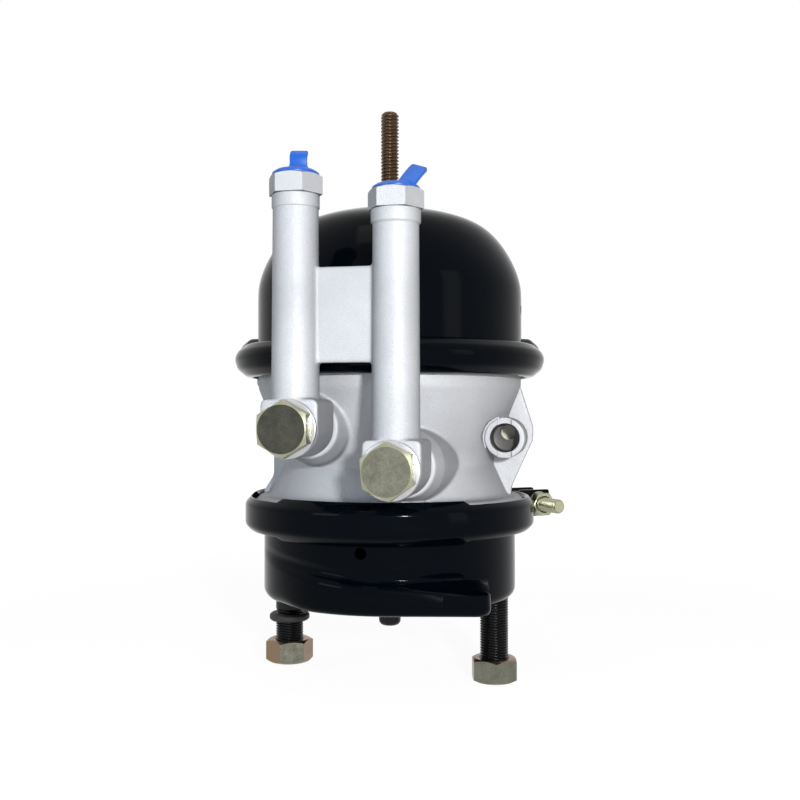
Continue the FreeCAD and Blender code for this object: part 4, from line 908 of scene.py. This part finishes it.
def build_casting(c):
    outer = [(0, 49.9), (80.0, 49.9), (80.0, 51.7), (74.0, 57.2), (68.5, 57.4), (60.4, 75.0), (60.6, 81.5),
             (75.4, 117.5), (75.5, 127.0), (RIM_RADIUS, 127.0), (RIM_RADIUS, 133.6), (0, 133.6)]
    forms = [turned("body", outer, [0, 0.4, 0.6, 1.5, 5, 6, 18, 10, 2, 0.8, 0.8, 0], 8, 180)]
    half = c.rib / 2
    right = [(40, 119), (75.2, 118.8), (82.4, 96.0), (82.4, 88.5), (70.5, 62.5), (70.0, 56.5), (40, 56.5)]
    left = [(-40, 56.5), (-76.5, 56.5), (-69.5, 67.0), (-69.5, 78.5), (-75.6, 112.0), (-80.0, 121.0),
            (-80.0, 127.5), (-40, 127.5)]
    ribs = []
    for run, radii in ((right, [0, 3, 9, 9, 8, 2, 0]), (left, [0, 1, 8, 8, 14, 3, 1, 0])):
        ribs.append(soften(frontward(prism("rib", rounded(run, radii, 5), -half, half)), 0.5, 2, 60))
    forms.append(frontward(tube_block(c.boss_radius, c.boss_radius - 0.6, -2.5, 18.0), BOSS))
    taper = [(0, 40.0), (c.base_radius + 3.5, 40.0), (c.base_radius, 66.0), (15.6, 75.8), (0, 75.8)]
    for x, z in PORTS:
        forms.append(frontward(turned("base", taper, [0, 0, 5, 1, 0], 5, 72), (x, 0, z)))
    casting = run_together("flange_housing", forms, c.grain, 4)
    hollow = [(0, 40.0), (64.0, 40.0), (64.0, 51.7), (55.1, 74.5), (14.5, 74.5), (14.5, 88.5), (22.0, 88.5),
              (24.5, 82.5), (51.0, 82.5), (70.9, 117.5), (70.9, 140.0), (0, 140.0)]
    for rib in ribs:
        combine(casting, rib, "UNION")
    combine(casting, lathe("hollow", hollow, 120, closed=False))
    combine(casting, frontward(bar("pocket", c.boss_radius + 1.2, 21.4, 32, 96), BOSS))
    boss = [(0, -2.4), (c.boss_radius + 0.3, -2.4), (c.boss_radius, 23.0), (0, 23.0)]
    combine(casting, frontward(turned("boss", boss, [0, 0.5, 0.5, 0], 4, 96), BOSS), "UNION")
    r = c.bore_radius
    bore = [(0, 9.0), (r, 9.0), (r, 22.6), (r + 0.5, 23.1), (r + 0.5, 30), (0, 30)]
    combine(casting, frontward(turned("bore", bore, [0, 1.2, 0.3, 0, 0, 0], 3, 64), BOSS))
    combine(casting, frontward(bar("well", 4.2, 1.0, 12.0, 40), (68.9, 0, 92.7)))
    for z0, z1 in ((96.5, 101.6), (78.4, 83.5)):
        combine(casting, prism("slot", box_outline(64.4, -24.0, 72.4, -20.8), z0, z1))
    for x, z in PORTS:
        combine(casting, frontward(bar("hole", 8.0, 69.0, 90.0, 40), (x, 0, z)))
    settle(casting, cast_aluminium(), 34)
    # Second finish: painted shade for the inside of the vent bore; third: pale guide plastic for the well's
    # floor
    casting.data.materials.append(bore_painted_shade())
    casting.data.materials.append(guide_plastic())
    for face in casting.data.polygons:
        x, y, z = face.center / MM
        off = math.hypot(x - BOSS[0], z - BOSS[2])
        if off < r + 0.2 and -22.4 < y < -4.0:
            face.material_index = 1
        elif off < r and -1.3 < y < -0.7:
            face.material_index = 2
    place(casting, ROOT, "flange_housing", slot="cast_aluminium")


def build_pipes(c):
    forms = []
    crisp = []
    y = PIPE_Y
    h = c.block_half
    outline = rounded([(-h, 0), (-h, h), (h, h), (h, 0)], [0, 3.2, 3.2, 0], 5)
    for step in range(1, 24):
        bend = math.pi * step / 24
        outline.append((h * math.cos(bend), -h * math.sin(bend)))
    for x, block_z, top, skirt, flats in (
        (LEFT_X, LEFT_Z, LEFT_TOP, 11.75, 23.7),
        (RIGHT_X, RIGHT_Z, RIGHT_TOP, 12.1, 24.0),
    ):
        low = top - 9.5
        forms.append(move(tube_block(c.pipe_radius + 0.7, c.pipe_radius, block_z, low + 2), (x, y, 0)))
        collar = [(0, low - 7.6), (skirt - 1.0, low - 7.6), (skirt, low - 6.4), (skirt, low - 0.5),
                  (skirt - 1.0, low + 0.3), (0, low + 0.3)]
        crisp.append(move(turned("collar", collar, [0, 0.2, 0.5, 0.2, 0, 0], 3, 96), (x, y, 0)))
        block = soften(prism("block", outline, -19.6, 11.8), 1.0, 2, 60)
        forms.append(frontward(block, (x, y, block_z)))
        head = hex_piece("hexagon", flats, low, top, face=flats / 2 - 0.1, chamfer_low=False)
        crisp.append(move(head, (x, y, 0)))
    web = prism("web", box_outline(LEFT_X, 128.0, RIGHT_X, 174.5), -3.0, 3.0)
    forms.append(frontward(web, (0, y, 0)))
    pipes = run_together("port_pipes", forms, 0.8, 5)
    for head in crisp:
        combine(pipes, head, "UNION")
    for (x, z), top in zip(PORTS, (LEFT_TOP, RIGHT_TOP)):
        throat = [(0, z), (5.0, z), (5.0, top - 20), (7.2, top - 20), (7.2, top - 5), (8.4, top - 5),
                  (8.4, top - 0.6), (9.0, top + 0.1), (9.0, top + 2), (0, top + 2)]
        combine(pipes, move(lathe("throat", throat, 48, closed=False), (x, y, 0)))
        combine(pipes, frontward(bar("hole", 8.3, 70, 115, 48), (x, 0, z)))
    settle(pipes, cast_aluminium(), 27)
    place(pipes, ROOT, "port_pipes", slot="cast_aluminium")


def build_banjo_bolts(f):
    heads, rings = [], []
    flange = ring_round([(8.0, 0), (14.4, 0), (14.4, 2.0), (8.0, 2.0)], [0, 0.5, 0.6, 0], 3)
    for (x, z), turn in zip(PORTS, (0.54, 0.61)):
        head = hex_piece("head", f.hex_flats, 2.0, 11.5, turn=turn, chamfer_low=False, face=11.6)
        bolt = gather("bolt", [head, bar("shank", 8.0, -41, 2.2, 48)])
        heads.append(frontward(bolt, (x, FRONT_Y, z)))
        rings.append(frontward(lathe("washer", flange, 72), (x, FRONT_Y, z)))
    bolts = settle(gather("banjo_bolts", heads), yellow_zinc(), 20)
    # The left head's flat face takes a darker copy of the worn zinc, a painted reflection of dark
    # surroundings; the worn face itself is real wear
    bolts.data.materials.append(worn_zinc("dark head face", 0.35))
    bolts.data.materials.append(worn_zinc("scratched head face", 1.0))
    for face in bolts.data.polygons:
        if face.normal.y < -0.98:
            face.material_index = 1 if face.center.x < 0 else 2
    place(bolts, ROOT, "banjo_bolts", slot="yellow_zinc")
    washers = settle(gather("banjo_washers", rings), bright_steel(), 35)
    place(washers, ROOT, "banjo_washers", slot="washer_steel")


def tab_piece(path, across, width, thick, flare):
    """A pull tab: a strip along a path, wider at its root and rounded at its tip."""
    centres = [Vector(point) for point in smooth_run(path, 6)]
    across = Vector(across).normalized()
    bm = bmesh.new()
    rings = []
    last = len(centres) - 1
    for row, centre in enumerate(centres):
        share = row / last
        way = (centres[min(row + 1, last)] - centres[max(row - 1, 0)]).normalized()
        root = 1 + flare * (1 - smoothstep(0.0, 0.35, share))
        half = across * (width / 2 * root * (1 - 0.22 * smoothstep(0.88, 1.0, share) ** 2))
        skin = way.cross(across).normalized() * (thick / 2)
        corners = ((-1, -1), (1, -1), (1, 1), (-1, 1))
        rings.append([bm.verts.new((centre + skin * a + half * b) * MM) for a, b in corners])
    skin_over(bm, rings)
    return soften(to_object(bm, "tab"), 0.5, 3, 50)


def build_caps():
    run = ring_round(
        [(0.01, 0.9), (6.6, 0.9), (6.6, -4.5), (8.0, -4.5), (8.0, 0.0), (11.6, 0.0), (11.6, 1.1), (9.6, 2.5),
         (5.5, 3.5), (0.01, 3.8)],
        [0, 0.4, 0.3, 0.4, 0.2, 0.3, 0.5, 1.5, 2.0, 0], 4,
    )
    left_path = ((1.2, 0, 1.6), (1.3, 0.2, 5.5), (1.3, 0.4, 9.6), (1.4, 2.0, 12.3))
    right_path = ((5.6, -5.2, 0.9), (7.4, -2.9, 4.4), (9.2, 0.2, 8.0), (11.3, 3.3, 11.4))
    for side, x, top, path, across, flare in (
        ("left", LEFT_X, LEFT_TOP, left_path, (0.98, 0.19, 0), 0.5),
        ("right", RIGHT_X, RIGHT_TOP, right_path, (8.62, -1.36, -2.9), 0.0),
    ):
        tab = tab_piece(path, across, 8.6, 2.0, flare)
        cap = settle(gather(side + "_port_cap", [lathe("cap", run, 96), tab]), blue_plastic(), 40)
        move(cap, (x, PIPE_Y, top))
        place(cap, side + "_cap", side + "_port_cap", slot="blue_plastic")


def build_studs(f):
    studs, nuts = [], []
    core = f.stud_radius - 0.1
    for x, nut_low, turn, start, flat in (
        (-STUD_X, -42.0, 24.3, 11.0, -5.5),
        (STUD_X, -47.5, -18.3, 1.0, -9.0),
    ):
        rod = threaded("thread", f.stud_radius, 0.92, f.stud_pitch, start, 40.5, core, 1.5)
        rod = move(rod, turn=Matrix.Rotation(math.pi, 3, "X"))
        shank = bar("shank", f.stud_radius, -start - 0.2, SEAT_TOP, 56)
        head = prism("head", box_outline(flat, -10, flat + 14.5, 10), SEAT_TOP, 12.0)
        soften(head, 1.0, 2)
        studs.append(move(gather("stud", [rod, shank, head]), (x, 0, 0)))
        turn = math.radians(turn)
        nut = hex_piece("nut", f.hex_flats, nut_low, nut_low + 13.0, turn=turn, bore=8.02, face=11.3)
        nuts.append(move(nut, (x, 0, 0)))
    pair = settle(gather("mounting_studs", studs), stud_black(), 50)
    place(pair, ROOT, "mounting_studs", slot="stud_steel")
    nut_pair = settle(gather("stud_nuts", nuts), rosy_zinc(), 20)
    # Facets turned toward the front take a grey green zinc: painted reflection, set by which way each facet
    # faces
    nut_pair.data.materials.append(worn_zinc("grey green zinc", 0.9))
    painted_reflection_side = Vector((0.35, -0.94, 0))
    for face in nut_pair.data.polygons:
        if face.normal.dot(painted_reflection_side) > 0.7:
            face.material_index = 1
    place(nut_pair, ROOT, "stud_nuts", slot="yellow_zinc")
    section = [(8.0, -18.0), (10.4, -18.2), (11.7, -17.2), (11.7, -14.8), (10.4, -13.8), (8.0, -14.0)]
    run = ring_round(section, [0.3, 0.8, 1.2, 1.2, 0.8, 0.3], 5)
    ring = lathe("stud_ring", run, 72, finish=plain_rubber(), sharp=50)
    move(ring, (-STUD_X, 0, 0))
    place(ring, ROOT, "stud_rubber_ring", slot="rubber")


def build_release_bolt(f):
    foot = low_of("release_bolt")
    r = f.release_radius
    rod = threaded("thread", r, 0.95, f.release_pitch, 190.0, 278.0, r - 0.1, 1.5, 48)
    stem = bar("stem", r, foot, 190.4, 48)
    head = prism("head", box_outline(-13.0, -5.0, 13.0, 5.0), foot, foot + 7.0)
    soften(head, 1.2, 2)
    bolt = settle(gather("release_bolt", [rod, stem, head]), bronze_zinc(), 50)
    place(bolt, STAGE, "release_bolt", slot="bronze_zinc")
    nut = hex_piece("release_nut", 17.0, 225.65, 234.6, bore=5.27)
    settle(nut, yellow_zinc(), 20)
    place(nut, "nut", "release_nut", slot="yellow_zinc")
    run = ring_round([(5.95, 223.05), (10.4, 223.05), (10.4, 225.6), (5.95, 225.6)], [0.3, 0.4, 0.6, 0.3], 3)
    washer = lathe("release_washer", run, 72, finish=rosy_zinc(), sharp=40)
    place(washer, ROOT, "release_washer", slot="washer_steel")


def build_push_rod():
    top = top_of("push_rod")
    run = [(0, -18.8), (6.3, -18.8), (6.3, -6.8), (9.5, -3.7), (9.5, top), (0, top)]
    run = rounded(run, [0, 6.0, 1.5, 1.5, 0.3, 0], 8)
    rod = lathe("push_rod", run, 64, closed=False, finish=stud_black(), sharp=40)
    place(rod, SERVICE, "push_rod", slot="push_rod_steel")
    low, neck, collar_top, high = 3.55, 9.85, 6.5, 64.0
    wall = 1.6
    outside = [(23.0, low), (23.0, collar_top)]
    inside = []
    for fold in range(6):
        base = collar_top + 9.58 * fold
        for r, z in ((neck, base + 1.9), (15.85, base + 6.7)):
            inside.append((r, z))
            outside.append((r + wall, z))
    outside.append((neck + wall, high))
    inside.append((neck, high))
    radii = [0.3, 0.8, 0.8] + [1.3] * 12 + [0.3, 0.3] + [1.0] * 12
    run = ring_round([(15.0, low)] + outside + inside[::-1], radii, 4)
    boot = lathe("push_rod_boot", run, 72, finish=plain_rubber(), sharp=60)
    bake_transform(boot)
    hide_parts("push_rod_boot")


def build_springs():
    for name, wire, low_radius, top_radius, turns, finish, slot, body, still in (
        ("power_spring", 6.0, 43.5, 36.4, 3.2, spring_paint(), "spring_paint", STAGE, "top"),
        ("plunger_spring", 2.0, 27.0, 45.5, 4.5, bright_steel(), "spring_steel", STAGE, "low"),
        ("return_spring", 2.2, 47.0, 23.5, 5.0, bright_steel(), "spring_steel", SERVICE, "low"),
    ):
        low, high = low_of(name), top_of(name)
        spring = coil(name, wire, low_radius, top_radius, low, high, turns, finish)
        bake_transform(spring)
        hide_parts(name)


def build_diaphragms():
    t = 3.2
    gap = 0.02
    for name, low, rim, foot, crown, face, body in (
        ("service_diaphragm", 46.5, 79.4, 60.0, 48.5, 70.0, SERVICE),
        ("spring_diaphragm", 133.7, 83.4, 66.9, 48.5, 150.3, STAGE),
    ):
        lift = t * 0.6
        outline = [(0.01, face), (crown, face), (foot, low + t), (foot, low + gap), (rim, low + gap),
                   (rim, low + t - gap), (foot + lift, low + t - gap), (crown + lift, face + t),
                   (0.01, face + t)]
        run = ring_round(outline, [0, 3.0, 2.0, 0.8, 1.2, 1.2, 3.0, 4.0, 0], 6)
        sheet = lathe(name, run, 144, finish=fabric_rubber(), sharp=50)
        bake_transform(sheet)
        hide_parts(name)


def dress_inner_nodes():
    wear = {
        "guide_bush": guide_plastic(),
        "plunger_seal": plain_rubber(),
        "mounting_face_seal": plain_rubber(),
        "port_base_seals": plain_rubber(),
        "power_spring_seat": bright_steel(),
        "plunger_plate": bright_steel(),
        "plunger_rod": bright_steel(),
        "service_plate": bright_steel(),
        "pressure_plate": cast_aluminium(),
    }
    for name, finish in wear.items():
        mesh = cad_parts[name].data
        mesh.materials.clear()
        mesh.materials.append(finish)


# Operators


class Dresser:
    bl_options = {"REGISTER", "UNDO"}


class CHAMBER_OT_shells(Dresser, bpy.types.Operator):
    """Build the lower shell and the dome"""

    bl_idname = "chamber.shells"
    bl_label = "Shells"

    def execute(self, context):
        build_lower_shell(context.scene.chamber_shell)
        build_dome(context.scene.chamber_shell)
        return {"FINISHED"}


class CHAMBER_OT_bands(Dresser, bpy.types.Operator):
    """Build the crimp ring and the clamp band with its bolt"""

    bl_idname = "chamber.bands"
    bl_label = "Bands"

    def execute(self, context):
        build_crimp_ring(context.scene.chamber_band)
        build_clamp_band(context.scene.chamber_band)
        return {"FINISHED"}


class CHAMBER_OT_casting(Dresser, bpy.types.Operator):
    """Build the waisted casting with its ribs, bases and vent boss"""

    bl_idname = "chamber.casting"
    bl_label = "Casting"

    def execute(self, context):
        build_casting(context.scene.chamber_casting)
        return {"FINISHED"}


class CHAMBER_OT_pipes(Dresser, bpy.types.Operator):
    """Build the twin air pipes, their banjo bolts and caps"""

    bl_idname = "chamber.pipes"
    bl_label = "Air pipes"

    def execute(self, context):
        build_pipes(context.scene.chamber_casting)
        build_banjo_bolts(context.scene.chamber_fastener)
        build_caps()
        return {"FINISHED"}


class CHAMBER_OT_fasteners(Dresser, bpy.types.Operator):
    """Build the studs, their nuts and the release bolt"""

    bl_idname = "chamber.fasteners"
    bl_label = "Studs and release bolt"

    def execute(self, context):
        build_studs(context.scene.chamber_fastener)
        build_release_bolt(context.scene.chamber_fastener)
        return {"FINISHED"}


class CHAMBER_OT_works(Dresser, bpy.types.Operator):
    """Build the push rod, boot, springs and diaphragms, and finish the plates"""

    bl_idname = "chamber.works"
    bl_label = "Inner works"

    def execute(self, context):
        build_push_rod()
        build_springs()
        build_diaphragms()
        dress_inner_nodes()
        return {"FINISHED"}


def area_light(name, place_mm, aim_mm, size_mm, power, tint):
    data = bpy.data.lights.new(name, "AREA")
    data.shape = "RECTANGLE"
    data.size, data.size_y = size_mm[0] * MM, size_mm[1] * MM
    data.energy = power
    data.color = tint
    lamp = bpy.data.objects.new(name, data)
    bpy.context.scene.collection.objects.link(lamp)
    lamp.location = Vector(place_mm) * MM
    lamp.rotation_mode = "QUATERNION"
    lamp.rotation_quaternion = (Vector(aim_mm) - Vector(place_mm)).to_track_quat("-Z", "Y")


def seen_rays(tree):
    """One for the rays that show the background: straight, mirrored or through glass."""
    path = tree.nodes.new("ShaderNodeLightPath")
    total = path.outputs["Is Camera Ray"]
    for label in ("Is Glossy Ray", "Is Transmission Ray"):
        total = calculate(tree, "MAXIMUM", total, path.outputs[label])
    return total


def white_light(tree, strength):
    node = tree.nodes.new("ShaderNodeBackground")
    feed_all(tree, node, {"Color": (1, 1, 1, 1), "Strength": strength})
    return node.outputs[0]


def white_for_camera(tree, seen, lit):
    """World light of one strength, shown as another to camera, glossy and transmitted rays."""
    tree.nodes.clear()
    out = tree.nodes.new("ShaderNodeOutputWorld")
    mixed = mix_shaders(tree, seen_rays(tree), white_light(tree, lit), white_light(tree, seen))
    tree.links.new(mixed, out.inputs["Surface"])


class CHAMBER_OT_stage(Dresser, bpy.types.Operator):
    """Set up the floor, the soft light and the camera"""

    bl_idname = "chamber.stage"
    bl_label = "Stage"

    def execute(self, context):
        s = context.scene.chamber_stage
        scene = context.scene
        scene.view_settings.view_transform = "Standard"
        data = bpy.data.cameras.new("camera")
        data.sensor_width = 36.0
        data.lens = s.lens
        camera = bpy.data.objects.new("camera", data)
        scene.collection.objects.link(camera)
        right = Vector((math.cos(s.azimuth), math.sin(s.azimuth), 0))
        back = Vector((math.sin(s.azimuth), -math.cos(s.azimuth), 0))
        camera.location = (back * s.distance + right * s.shift + UP * s.height) * MM
        camera.rotation_euler = (math.pi / 2 + s.pitch, 0, s.azimuth)
        scene.camera = camera
        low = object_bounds()[0].z - FLOOR_GAP * MM
        bm = bmesh.new()
        bmesh.ops.create_grid(bm, x_segments=1, y_segments=1, size=FLOOR_HALF * MM)
        bmesh.ops.translate(bm, verts=bm.verts, vec=(0, 0, low))
        floor = to_object(bm, "floor", floor_finish(tuple(s.floor)))
        floor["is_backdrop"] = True
        world = bpy.data.worlds.new("studio")
        scene.world = world
        world.use_nodes = True
        white_for_camera(world.node_tree, 1.0, WORLD_LIGHT)
        for lamp in LAMPS:
            area_light(*lamp)
        return {"FINISHED"}


def floor_finish(tint):
    """A pale floor that shows nearly white and keeps a soft shadow near the part."""
    material = bpy.data.materials.new("pale floor")
    material.use_nodes = True
    tree = material.node_tree
    shader = tree.nodes["Principled BSDF"]
    feed_all(tree, shader, {"Base Color": (*tint, 1), "Roughness": 0.9, "Specular IOR Level": 0.1})
    glow = tree.nodes.new("ShaderNodeEmission")
    glow.inputs["Strength"].default_value = FLOOR_GLOW
    where = tree.nodes.new("ShaderNodeTexCoord")
    away = tree.nodes.new("ShaderNodeVectorMath")
    away.operation = "LENGTH"
    tree.links.new(where.outputs["Object"], away.inputs[0])
    share = spread(tree, away.outputs["Value"], 0.3, 1.6, 0.84, 1.0)
    factor = calculate(tree, "MULTIPLY", seen_rays(tree), share)
    mixed = mix_shaders(tree, factor, shader.outputs[0], glow.outputs[0])
    tree.links.new(mixed, tree.nodes["Material Output"].inputs["Surface"])
    return material


class CHAMBER_PT_panel(bpy.types.Panel):
    """Steps and settings of the chamber"""

    bl_idname = "CHAMBER_PT_panel"
    bl_label = "Brake Chamber"
    bl_space_type = "VIEW_3D"
    bl_region_type = "UI"
    bl_category = "Chamber"

    def draw(self, context):
        for operator in STEPS:
            self.layout.operator(operator.bl_idname)
        for name in SETTINGS:
            box = self.layout.box()
            settings = getattr(context.scene, name)
            for label in settings.bl_rna.properties.keys():
                if label not in {"rna_type", "name"}:
                    box.prop(settings, label)


STEPS = (
    CHAMBER_OT_shells,
    CHAMBER_OT_bands,
    CHAMBER_OT_casting,
    CHAMBER_OT_pipes,
    CHAMBER_OT_fasteners,
    CHAMBER_OT_works,
    CHAMBER_OT_stage,
)
SETTINGS = {
    "chamber_shell": ShellSettings,
    "chamber_band": BandSettings,
    "chamber_casting": CastingSettings,
    "chamber_fastener": FastenerSettings,
    "chamber_finish": FinishSettings,
    "chamber_stage": StageSettings,
}


def register():
    for kind in (*SETTINGS.values(), *STEPS, CHAMBER_PT_panel):
        bpy.utils.register_class(kind)
    for name, kind in SETTINGS.items():
        setattr(bpy.types.Scene, name, bpy.props.PointerProperty(type=kind))


def unregister():
    for name in SETTINGS:
        delattr(bpy.types.Scene, name)
    for kind in (CHAMBER_PT_panel, *reversed(STEPS), *SETTINGS.values()):
        bpy.utils.unregister_class(kind)


def write_sizes():
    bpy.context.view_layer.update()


def main():
    register()
    for operator in STEPS:
        family, step = operator.bl_idname.split(".")
        getattr(getattr(bpy.ops, family), step)()
    write_sizes()


if __name__ == "__main__":
    main()
